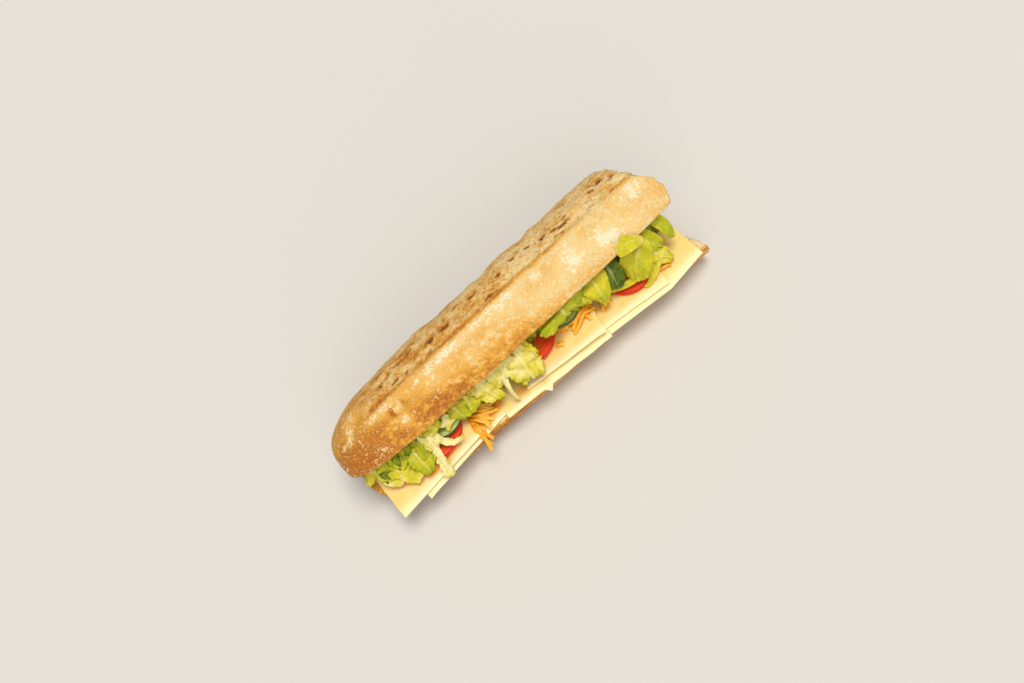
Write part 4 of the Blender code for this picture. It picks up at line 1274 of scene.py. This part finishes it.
def sheet_mesh(name, sheets):
    """One mesh of several thin solids, each (points, thickness, map, and two values: a leaf's tone and vein
    strength; on cheese, its stains and painted highlight).
    """
    vertices, faces, maps, tones, start = [], [], [], [], 0
    for points, thickness, own_map, tone in sheets:
        own_vertices, own_faces = thick_sheet(points, thickness)
        vertices.append(own_vertices)
        faces.append(own_faces + start)
        maps += [own_map.reshape(-1, 2)] * 2
        tones += [tone.reshape(-1, 2)] * 2
        start += len(own_vertices)
    vertices, faces = np.concatenate(vertices) * MM, np.concatenate(faces)
    maps, tones = np.concatenate(maps), np.concatenate(tones)
    mesh = bpy.data.meshes.new(name)
    mesh.from_pydata(vertices.tolist(), [], faces.tolist())
    loops = np.empty(len(mesh.loops), np.int32)
    mesh.loops.foreach_get("vertex_index", loops)
    mesh.uv_layers.new(name="leaf").data.foreach_set("uv", maps[loops].astype(np.float32).ravel())
    for column, name in enumerate(("tone", "veined")):
        carry(mesh, name, np.ascontiguousarray(tones[:, column], np.float32))
    bm = edited(mesh)
    bmesh.ops.recalc_face_normals(bm, faces=bm.faces)
    return mesh_of(bm, mesh)


def edge_steps(length, edge, cell):
    """Places from 0 to 1 along a length: close together near both ends, then evenly."""
    close = np.array([0.0, 0.12, 0.35, 0.65, 1.0]) * edge
    count = max(2, int((length - 2 * edge) / cell))
    middle = np.linspace(edge, length - edge, count + 1)[1:-1]
    return np.concatenate((close, middle, length - close[::-1])) / length


def rim_y(x):
    """The front rim of the lower half."""
    return -LOAF_HALF_WIDTH + math.tan(LOWER_HALF_TURN) * (x - LOWER_HALF_PIVOT_X)


def cheese_sheet(piece, thickness):
    """A slice as a grid of places: turned, tilted, drooping past the rim, with slightly uneven edges."""
    front = Matrix.Rotation(math.radians(piece.turn), 2) @ Vector((piece.width, 0))
    side = Matrix.Rotation(math.radians(piece.side_turn), 2) @ Vector((0, piece.depth))
    us, vs = (edge_steps(reach, CHEESE_EDGE, CHEESE_CELL) for reach in (piece.width, piece.depth))
    points = np.empty((len(vs), len(us), 3))
    depth, values = np.empty(points.shape[:2]), np.zeros((len(vs), len(us), 2))
    for row, along in enumerate(vs):
        for column, across in enumerate(us):
            spot = Vector(piece.corner) + front * across + side * along
            seed = piece.width + piece.corner[0]
            edge_u = noise.noise(Vector((along * piece.depth / 9, seed, across * 2))) * piece.ragged
            edge_u *= (1.0 if piece.ragged > 0.8 and across > 0.5 else 0.35) * (2 * across - 1) ** 3
            edge_v = 0.3 * (1 - along) ** 4
            edge_v *= noise.noise(Vector((across * piece.width / 11, seed, 7.0 + along)))
            bow = min(across / BOW_PLACE, (1 - across) / (1 - BOW_PLACE)) * (1 - along)
            if piece.name == HANGING_SLICE:
                corner = max(0.0, 1 - abs(spot.x - HANGING_X) / HANGING_HALF_WIDTH)
                edge_v -= HANGING_REACH * corner * (1 - along) ** 8
            x, y = spot.x + edge_u, spot.y - piece.bow * bow + edge_v
            overhang = max(0.0, rim_y(x) + CHEESE_DROOP_INSET - y)
            z = KNIFE_HEIGHT + piece.lift + piece.rise * across - CHEESE_DROOP * overhang**2
            z += 0.18 * noise.noise(Vector((x / 13, y / 13, seed)))
            points[row, column] = x, y, z
            for (stain_x, stain_y), size, strength in CHEESE_STAINS:
                off = math.hypot((x - stain_x) / 1.4, y - stain_y) / size
                values[row, column, 0] += strength * math.exp(-(off**2))
            # Painted highlight: 1 at the front edge, fading out within 6 mm
            values[row, column, 1] = 1 - smooth_step(along * piece.depth, 0.5, 6.0)
            nearest = min(min(across, 1 - across) * piece.width, min(along, 1 - along) * piece.depth)
            share = min(1.0, nearest / CHEESE_EDGE)
            depth[row, column] = max(CHEESE_THINNEST, math.sqrt(1 - (1 - share) ** 2)) * thickness
    grid = np.stack(np.meshgrid(us, vs), -1)
    return points, depth, grid, values


def round_slice_mesh(piece, lobes, rim_width):
    """A round slice: rounded rind, cut faces with sunken seed pockets, and the values its material needs."""
    radius, half = piece.radius, piece.thickness / 2
    corner = piece.thickness * RIND_ROUNDING
    profile = [(share * (radius - corner), half) for share in np.linspace(0, 1, FACE_RINGS)]
    profile += [
        (radius - corner + corner * math.sin(turn), half - corner + corner * math.cos(turn))
        for turn in np.linspace(0, math.pi / 2, RIND_RINGS)[1:]
    ]
    profile += [(r, -z) for r, z in profile[::-1]]
    around = np.linspace(0, 2 * math.pi, SLICE_SIDES + 1)[:-1]
    vertices, rinds, pockets = [], [], []
    for r, z in profile:
        for angle in around:
            share = r / radius
            swell = 1 + ROUND_SLICE_UNEVENNESS * math.sin(3 * angle + piece.centre[0])
            lobe = math.cos(lobes * angle + math.radians(piece.turn))
            lobe += 0.25 * math.cos((lobes + 2) * angle + 1)
            pocket = smooth_step(lobe, -0.15, 0.45) * smooth_step(share, 0.2, 0.36)
            pocket *= 1 - smooth_step(share, 0.7, 0.8)
            face = abs(z) > half - 1e-6
            x, y = r * math.cos(angle), r * math.sin(angle)
            dent = POCKET_DEPTH * pocket + 0.12 * noise.noise(Vector((x, y, z)) / 1.6)
            height = z - math.copysign(dent, z) if face else z
            vertices.append((x * swell, y * swell, height))
            rinds.append(smooth_step(share, 1 - rim_width, 1 - rim_width * 0.35))
            pockets.append(pocket if face else 0.0)
    faces = []
    for ring in range(len(profile) - 1):
        for step in range(SLICE_SIDES):
            a, b = ring * SLICE_SIDES + step, ring * SLICE_SIDES + (step + 1) % SLICE_SIDES
            faces.append((b, a, a + SLICE_SIDES, b + SLICE_SIDES))
    mesh = bpy.data.meshes.new(piece.name)
    mesh.from_pydata(vertices, [], faces)
    carry(mesh, "rind", rinds)
    carry(mesh, "pocket", pockets)
    bm = edited(mesh)
    bmesh.ops.remove_doubles(bm, verts=bm.verts, dist=0.002)
    bmesh.ops.recalc_face_normals(bm, faces=bm.faces)
    bm.transform(Matrix.Scale(MM, 4) @ slice_place(piece))
    return mesh_of(bm, mesh)


def slice_place(piece):
    """Where a round slice lies, in millimetres."""
    side_lean = Matrix.Rotation(math.radians(piece.side_lean), 4, "Y")
    front_lean = Matrix.Rotation(math.radians(piece.front_lean), 4, "X")
    return Matrix.Translation(piece.centre) @ side_lean @ front_lean


def seed_tree():
    """Geometry tree: a seed at every point, turned at random."""
    tree, given, out = geometry_tree("seeds", [("Seed Length", "Float", 0.002), ("Seed", "Int", 5)])
    ball = put(tree, "GeometryNodeMeshUVSphere", {"Segments": 8, "Rings": 6, "Radius": 0.5}).outputs["Mesh"]
    size = put(tree, "ShaderNodeCombineXYZ", {0: 1.0, 1: 0.62, 2: 0.34}).outputs[0]
    size = stretched(tree, size, given["Seed Length"])
    turn = random_turn(tree, 0.3, Seed=given["Seed"])
    inputs = {"Points": given["Geometry"], "Instance": ball, "Scale": size, "Rotation": turn}
    placed = put(tree, "GeometryNodeInstanceOnPoints", inputs)
    return ended(tree, given, out, placed.outputs[0], smooth=True)


def shred_tree():
    """Geometry tree: sweeps a rectangle along each path, and keeps how far along it a point is."""
    inputs = [("Width", "Float", 0.0015), ("Thickness", "Float", 0.001)]
    tree, given, out = geometry_tree("carrot shreds", inputs)
    along = put(tree, "GeometryNodeSplineParameter").outputs["Factor"]
    marked = kept_value(tree, given["Geometry"], "along", along)
    sides = {"Width": given["Width"], "Height": given["Thickness"]}
    outline = put(tree, "GeometryNodeCurvePrimitiveQuadrilateral", sides).outputs[0]
    inputs = {"Curve": outline, "Radius": times(tree, given["Thickness"], 0.25)}
    rounded = put(tree, "GeometryNodeFilletCurve", inputs).outputs[0]
    inputs = {"Curve": marked, "Profile Curve": rounded, "Fill Caps": True}
    swept = put(tree, "GeometryNodeCurveToMesh", inputs)
    return ended(tree, given, out, swept.outputs[0], smooth=True)


def shred_paths(bundle):
    """The paths of a bundle's shreds: those of the solid, with thinner ones beside each."""
    root, slim = Vector(bundle.root), 0.55 if bundle.droop > 5 else 1.0
    large = bundle.count > SMALL_BUNDLE
    paths = []
    for number in range(bundle.count):
        share = number / max(1, bundle.count - 1)
        for side, (offset, scale) in enumerate(SHRED_COMPANIONS[: 3 if large else 2]):
            turned = bundle.first_angle + (bundle.last_angle - bundle.first_angle) * share
            turned += offset * COMPANION_FAN
            angle = math.radians(turned)
            ahead = Vector((math.cos(angle), math.sin(angle), 0))
            aside = Vector((-ahead.y, ahead.x, 0))
            reach = bundle.reach * (1 + 0.12 * math.sin(5 * number)) * (1 if side == 0 else 0.85)
            lift = 0.35 * (number % 2) + COMPANION_LIFTS[side]
            path = []
            for along in np.linspace(0, 1, SHRED_STEPS):
                rise = bundle.arch * math.sin(math.pi * along) - bundle.droop * along**2
                curl = (0.12 if side == 0 else -0.1) * reach * math.sin(math.pi * along + number)
                place = root + ahead * reach * along + aside * (curl + offset) + Vector((0, 0, rise + lift))
                widening = 0.95 + 0.95 * along if large else 1.15 - 0.4 * along
                taper = widening * scale * slim * (0.55 + 0.45 * min(1.0, 6 * (1 - along), 6 * along + 0.4))
                path.append((place * MM, taper))
            paths.append(path)
    return paths


def shred_object(name, paths):
    """A curve object with one spline for each path, whose radius is the taper."""
    data = bpy.data.curves.new(name, "CURVE")
    data.dimensions = "3D"
    for path in paths:
        spline = data.splines.new("POLY")
        spline.points.add(len(path) - 1)
        for point, (place, taper) in zip(spline.points, path):
            point.co = (*place, 1)
            point.radius = taper
    obj = bpy.data.objects.new(name, data)
    bpy.context.scene.collection.objects.link(obj)
    return obj


def leaf_sheet(leaf, leaf_thickness, cell):
    """A leaf as a grid of places, with its thickness, its map and its tones."""
    root, middle, tip = (Vector(place) for place in (leaf.root, leaf.middle, leaf.tip))
    pull = middle * 2 - (root + tip) / 2
    side = (tip - root).cross(VIEW_OUTWARD).normalized()
    length = (middle - root).length + (tip - middle).length
    columns = int(np.clip(max(leaf.widths) / cell, *LEAF_COLUMNS))
    rows = int(np.clip(length / cell, *LEAF_ROWS))
    points = np.empty((rows + 1, columns + 1, 3))
    depth, tones = np.empty(points.shape[:2]), np.empty((*points.shape[:2], 2))
    frilly = leaf.frill > FRILLY
    veined = smooth_step(max(leaf.widths), 5.0, 12.0) * (1.0 if frilly else 0.55)
    seed = leaf.phase * 7 + leaf.root[0]
    for row in range(rows + 1):
        along = row / rows
        centre = root * (1 - along) ** 2 + pull * 2 * along * (1 - along) + tip * along**2
        tangent = ((pull - root) * (1 - along) + (tip - pull) * along).normalized()
        normal = side.cross(tangent).normalized()
        half = leaf.widths[0] * (1 - along) * (1 - 2 * along) + leaf.widths[2] * along * (2 * along - 1)
        half = (half + leaf.widths[1] * 4 * along * (1 - along)) / 2
        half *= math.sqrt(1 - LEAF_BLUNTING * max(0.0, (along - 0.6) / 0.4) ** 2)
        for column in range(columns + 1):
            share = 2 * column / columns - 1
            rim = abs(share)
            wave = math.sin(2 * math.pi * leaf.waves * along + leaf.phase + 1.7 * share)
            fringe = math.sin(2 * math.pi * leaf.waves * share + leaf.phase) * along
            rise = leaf.ruffle * (rim * wave + 0.25 * fringe) - leaf.cup * half * share**2
            edge = max(rim**4, smooth_step(along, 0.72, 1.0) ** 2)
            spot = Vector((share * half, along * length, seed * 9))
            rise += leaf.frill * edge * (1.9 * noise.noise(spot / 2.6) + 0.8 * noise.noise(spot / 1.1))
            rise += 0.8 * noise.noise(spot / 4.5) + 0.3 * noise.noise(spot / 1.8)
            torn = noise.noise(Vector((along * length / 1.4, math.copysign(3.0, share), seed)))
            torn += 0.5 * noise.noise(Vector((along * length / 0.6, math.copysign(5.0, share), seed)))
            out = 1 + leaf.jag * 0.5 * torn * rim
            tip_torn = noise.noise(Vector((share * half / 1.3, 9.0, seed)))
            reach = leaf.jag * 2.6 * tip_torn * smooth_step(along, 0.75, 1.0)
            place = centre + side * half * share * out + normal * rise + tangent * reach
            points[row, column] = place
            depth[row, column] = leaf_thickness * (1 - 0.45 * rim**4)
            depth[row, column] += leaf.rib * 1.5 * math.exp(-((share * half / 1.1) ** 2)) * (1 - 0.65 * along)
            # Rims of frilly leaves are greener; rims of smoother leaves are paler, a painted highlight
            tones[row, column] = leaf.tone + (0.10 if frilly else -0.08) * edge - 0.12 * (1 - along), veined
    grid = np.stack(np.meshgrid(np.linspace(0, 1, columns + 1), np.linspace(0, 1, rows + 1)), -1)
    return points, depth, grid, np.clip(tones, 0, 1)


def ceiling_z(y):
    """Height of the upper half's cut face over a place in depth."""
    return HINGE_Z + (HINGE_Y - y) * math.tan(OPENING_ANGLE)


def core_mesh(name):
    """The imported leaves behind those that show: a crumpled closed mass under the upper crust."""
    bm = bmesh.new()
    bmesh.ops.create_uvsphere(bm, u_segments=CORE_SIDES, v_segments=CORE_RINGS, radius=1)
    for vertex in bm.verts:
        along = math.acos(max(-1.0, min(1.0, vertex.co.z))) / math.pi
        around = math.atan2(vertex.co.y, vertex.co.x)
        x = CORE_FROM_X + (CORE_TO_X - CORE_FROM_X) * along
        share = min(1.0, 3.2 * math.sqrt(along * (1 - along))) if 0 < along < 1 else 0.0
        place = Vector((x, math.cos(around) * CORE_HALF_DEPTH, math.sin(around) * CORE_HALF_HEIGHT))
        fold = 1 - 2 * abs(noise.noise(place / 6.5))
        lumpy = share * (1.6 * fold + 0.9 * noise.noise(place / 3.0) - 1.2)
        y = CORE_CENTRE_Y + (CORE_HALF_DEPTH * share + lumpy) * math.cos(around)
        z = CORE_CENTRE_Z + (CORE_HALF_HEIGHT * share + lumpy) * math.sin(around)
        z = max(CORE_FLOOR_Z + 0.5 * abs(lumpy), z)
        vertex.co = Vector((x, y, min(z, ceiling_z(y) - CORE_CEILING_GAP))) * MM
    facing_out(bm)
    tone, veined = bm.verts.layers.float.new("tone"), bm.verts.layers.float.new("veined")
    leaf_map = bm.loops.layers.uv.new("leaf")
    for vertex in bm.verts:
        # Dark green tone: painted shade for the gaps between the leaves in front
        vertex[tone] = 0.9 + 0.4 * noise.noise(vertex.co / (9 * MM))
        vertex[veined] = 0.0
        for loop in vertex.link_loops:
            loop[leaf_map].uv = (vertex.co.x / (26 * MM) % 1.0, 0.5 + vertex.co.z / (60 * MM))
    return mesh_of(bm, name)


def filling_leaves(count, seed):
    """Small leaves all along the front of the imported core, between and behind the large ones."""
    rng = np.random.default_rng(seed)
    leaves = []
    for number in range(count):
        x = FILLING_FROM_X + FILLING_RUN * (number + 0.7 * rng.random()) / count
        y, out, z = -9.0 - 2.5 * rng.random(), 2.0 + 5.0 * rng.random() ** 1.5, 42 + 11 * rng.random()
        lean, drop, width = 6.0 * (rng.random() - 0.5), 2.0 + 4.5 * rng.random(), 4 + 8 * rng.random()
        tone, frill, phase = 0.32 + 0.62 * rng.random(), 0.9 + rng.random(), 6 * rng.random()
        cup, rib = 0.3 * (rng.random() - 0.3), 0.3 * rng.random()
        if any(start < x < end for start, end in OPEN_STRETCHES):
            out, drop, z = out * 0.25, 1.5, z + 3
        root, middle = (x, y + 3, z), (x + lean * 0.5, y - out * 0.6, z - drop * 0.2)
        tip = (x + lean, y - out, max(FILLING_LOWEST[0 if abs(x) > 95 else 1], z - drop))
        widths = (width * 0.7, width, width * 0.7)
        leaves.append(Leaf(root, middle, tip, widths, cup, 1.2, 1.5, phase, tone, frill, rib, 0.5))
    return leaves


class SANDWICH_OT_bread(Operator):
    """Makes both halves of the bread and the flakes on its crust"""

    bl_idname = "sandwich.bread"
    bl_label = "Bread"

    def execute(self, context):
        settings = context.scene.sandwich.bread
        material, relief = crust_material(settings), bread_relief_tree()
        values = {name: getattr(settings, name.lower().replace(" ", "_")) for name in RELIEF_SIZES}
        values["Material"] = material
        halves = []
        for name, node in (("bread_lower", "bread_bottom"), ("bread_upper", "bread_top")):
            rough = linked_object(name, half_loaf_mesh(name, node == "bread_top"), material)
            half = finished_by_nodes(rough, relief, values)
            hand_over(half, "crust", node)
            halves.append(half)
        flake = flake_object()
        ground = linked_object("crust_flakes", halves[1].data.copy(), material)
        density = settings.flake_count * SQUARE_CENTIMETRES
        scatter = {"Flake": flake, "Per Square Metre": density, "Seed": FLAKE_SEED, "Material": material}
        flakes = finished_by_nodes(ground, crust_flake_tree(), scatter)
        bpy.data.objects.remove(flake)
        hand_over(flakes, "crust")
        return {"FINISHED"}


class SANDWICH_OT_cheese(Operator):
    """Makes the slices of cheese"""

    bl_idname = "sandwich.cheese"
    bl_label = "Cheese"

    def execute(self, context):
        settings = context.scene.sandwich.cheese
        material = cheese_material(settings)
        for piece in CHEESE_SLICES:
            mesh = sheet_mesh(piece.name, [cheese_sheet(piece, settings.thickness / MM)])
            add_piece(piece.name.replace("slice", "layer"), mesh, material, "cheese", piece.name)
        return {"FINISHED"}


class SANDWICH_OT_tomato(Operator):
    """Makes the slices of tomato and their seeds"""

    bl_idname = "sandwich.tomato"
    bl_label = "Tomato"

    def execute(self, context):
        settings = context.scene.sandwich.vegetables
        material = tomato_material(settings)
        rng = np.random.default_rng(SEED_PLACES)
        places = []
        for piece in TOMATO_SLICES:
            mesh = round_slice_mesh(piece, TOMATO_LOBES, TOMATO_SKIN)
            add_piece(piece.name.replace("slice", "round"), mesh, material, "tomato", piece.name)
            for _ in range(SEED_TRIES):
                angle, share = rng.random() * 2 * math.pi, 0.3 + 0.42 * rng.random()
                if math.cos(TOMATO_LOBES * angle + math.radians(piece.turn)) > 0.15:
                    flat = Vector((math.cos(angle), math.sin(angle), 0)) * share * piece.radius
                    flat.z = piece.thickness / 2 - SEED_SINK
                    places.append(slice_place(piece) @ flat * MM)
        dots = bpy.data.meshes.new("tomato_seeds")
        dots.from_pydata(places, [], [])
        seeds = linked_object("tomato_seeds", dots, seed_material())
        values = {"Seed Length": settings.seed_length, "Seed": SEED_TURNS, "Material": seeds.active_material}
        hand_over(finished_by_nodes(seeds, seed_tree(), values), "tomato")
        return {"FINISHED"}


class SANDWICH_OT_cucumber(Operator):
    """Makes the slices of cucumber"""

    bl_idname = "sandwich.cucumber"
    bl_label = "Cucumber"

    def execute(self, context):
        material = cucumber_material(context.scene.sandwich.vegetables)
        for piece in CUCUMBER_SLICES:
            mesh = round_slice_mesh(piece, CUCUMBER_LOBES, CUCUMBER_SKIN)
            add_piece(piece.name.replace("slice", "round"), mesh, material, "cucumber", piece.name)
        return {"FINISHED"}


class SANDWICH_OT_carrot(Operator):
    """Makes the shreds of carrot"""

    bl_idname = "sandwich.carrot"
    bl_label = "Carrot"

    def execute(self, context):
        material, tree = carrot_material(context.scene.sandwich.vegetables), shred_tree()
        values = {"Width": SHRED_WIDTH * MM, "Thickness": SHRED_THICKNESS * MM, "Material": material}
        for bundle in CARROT_BUNDLES:
            obj = shred_object(bundle.name.replace("carrot", "grated"), shred_paths(bundle))
            hand_over(finished_by_nodes(obj, tree, values), "carrot", bundle.name)
        return {"FINISHED"}


class SANDWICH_OT_lettuce(Operator):
    """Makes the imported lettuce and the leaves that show"""

    bl_idname = "sandwich.lettuce"
    bl_label = "Lettuce"

    def execute(self, context):
        settings = context.scene.sandwich.lettuce
        material = lettuce_material(settings)
        thickness = settings.leaf_thickness / MM
        add_piece("lettuce_core", core_mesh("lettuce_core"), material, "lettuce", "lettuce_heap")
        filling = filling_leaves(settings.filling_leaves, settings.seed)
        for name, leaves, cell in (
            ("lettuce_large_leaves", HEAP_LEAVES + MORE_LEAVES, LEAF_CELL),
            ("lettuce_small_leaves", filling, FILLING_LEAF_CELL),
        ):
            mesh = sheet_mesh(name, [leaf_sheet(leaf, thickness, cell) for leaf in leaves])
            add_piece(name, mesh, material, "lettuce")
        for name, lobes in SINGLE_LEAVES.items():
            mesh = sheet_mesh(name, [leaf_sheet(lobe, thickness, LEAF_CELL) for lobe in lobes])
            add_piece(name.replace("lettuce", "green"), mesh, material, "lettuce", name)
        return {"FINISHED"}


class SANDWICH_OT_stage(Operator):
    """Makes the floor, the lights and the camera"""

    bl_idname = "sandwich.stage"
    bl_label = "Stage"

    def execute(self, context):
        settings = context.scene.sandwich.stage
        mesh = bpy.data.meshes.new("floor")
        half = FLOOR_SIZE / 2
        corners = [(-half, -half, 0), (half, -half, 0), (half, half, 0), (-half, half, 0)]
        mesh.from_pydata(corners, [], [(0, 1, 2, 3)])
        floor = linked_object("floor", mesh, floor_material(settings.floor_colour), smooth=False)
        floor.location.z = -FLOOR_DROP
        world = bpy.data.worlds.new("studio")
        world.use_nodes = True
        background = world.node_tree.nodes["Background"].inputs
        background["Color"].default_value = WORLD_COLOUR
        background["Strength"].default_value = WORLD_STRENGTH
        context.scene.world = world
        lights = (("key", settings.key_strength, KEY_LIGHT), ("fill", settings.fill_strength, FILL_LIGHT))
        for name, power, (place, spread, colour) in lights:
            data = bpy.data.lights.new(name, "SUN")
            data.energy, data.angle, data.color = power, math.radians(spread), colour
            light = bpy.data.objects.new(name, data)
            light.rotation_euler = (-Vector(place)).to_track_quat("-Z", "Y").to_euler()
            context.scene.collection.objects.link(light)
        context.scene.view_settings.view_transform = "Standard"
        place_camera(context.scene)
        return {"FINISHED"}


def place_camera(scene):
    """The camera looks down at the open front, rolled so that the loaf runs across the picture's corner."""
    data = bpy.data.cameras.new("camera")
    data.sensor_width = 36.0
    data.lens = CAMERA_FOCAL_PIXELS * data.sensor_width / PICTURE_WIDTH_PIXELS
    data.clip_start, data.clip_end = 0.01, 20.0
    place, aim = Vector(CAMERA_PLACE) * MM, Vector(CAMERA_AIM) * MM
    back = (place - aim).normalized()
    level = Vector((1, 0, 0))
    up = back.cross(level)
    right = level * math.cos(CAMERA_ROLL) - up * math.sin(CAMERA_ROLL)
    up = level * math.sin(CAMERA_ROLL) + up * math.cos(CAMERA_ROLL)
    camera = bpy.data.objects.new("camera", data)
    camera.matrix_world = Matrix.Translation(place) @ Matrix((right, up, back)).transposed().to_4x4()
    scene.collection.objects.link(camera)
    scene.camera = camera


class SANDWICH_PT_panel(Panel):
    """Lists the pieces of the sandwich and their settings"""

    bl_label = "Sandwich"
    bl_idname = "SANDWICH_PT_panel"
    bl_space_type = "VIEW_3D"
    bl_region_type = "UI"
    bl_category = "Sandwich"

    def draw(self, context):
        settings = context.scene.sandwich
        for operators, group in SECTIONS:
            box = self.layout.box()
            for operator in operators:
                box.operator(operator.bl_idname)
            values = getattr(settings, group)
            for name in values.__annotations__:
                box.prop(values, name)


SECTIONS = (
    ((SANDWICH_OT_bread,), "bread"),
    ((SANDWICH_OT_cheese,), "cheese"),
    ((SANDWICH_OT_tomato, SANDWICH_OT_cucumber, SANDWICH_OT_carrot), "vegetables"),
    ((SANDWICH_OT_lettuce,), "lettuce"),
    ((SANDWICH_OT_stage,), "stage"),
)
CLASSES = (
    BreadSettings,
    CheeseSettings,
    VegetableSettings,
    LettuceSettings,
    StageSettings,
    SandwichSettings,
    SANDWICH_OT_bread,
    SANDWICH_OT_cheese,
    SANDWICH_OT_tomato,
    SANDWICH_OT_cucumber,
    SANDWICH_OT_carrot,
    SANDWICH_OT_lettuce,
    SANDWICH_OT_stage,
    SANDWICH_PT_panel,
)


def register():
    """Registers the classes and the scene's settings."""
    for item in CLASSES:
        bpy.utils.register_class(item)
    bpy.types.Scene.sandwich = PointerProperty(type=SandwichSettings)


def unregister():
    """Removes them again."""
    del bpy.types.Scene.sandwich
    for item in reversed(CLASSES):
        bpy.utils.unregister_class(item)


def main():
    """Makes the whole scene."""
    register()
    for operators, _ in SECTIONS:
        for operator in operators:
            group, name = operator.bl_idname.split(".")
            getattr(getattr(bpy.ops, group), name)()


if __name__ == "__main__":
    main()
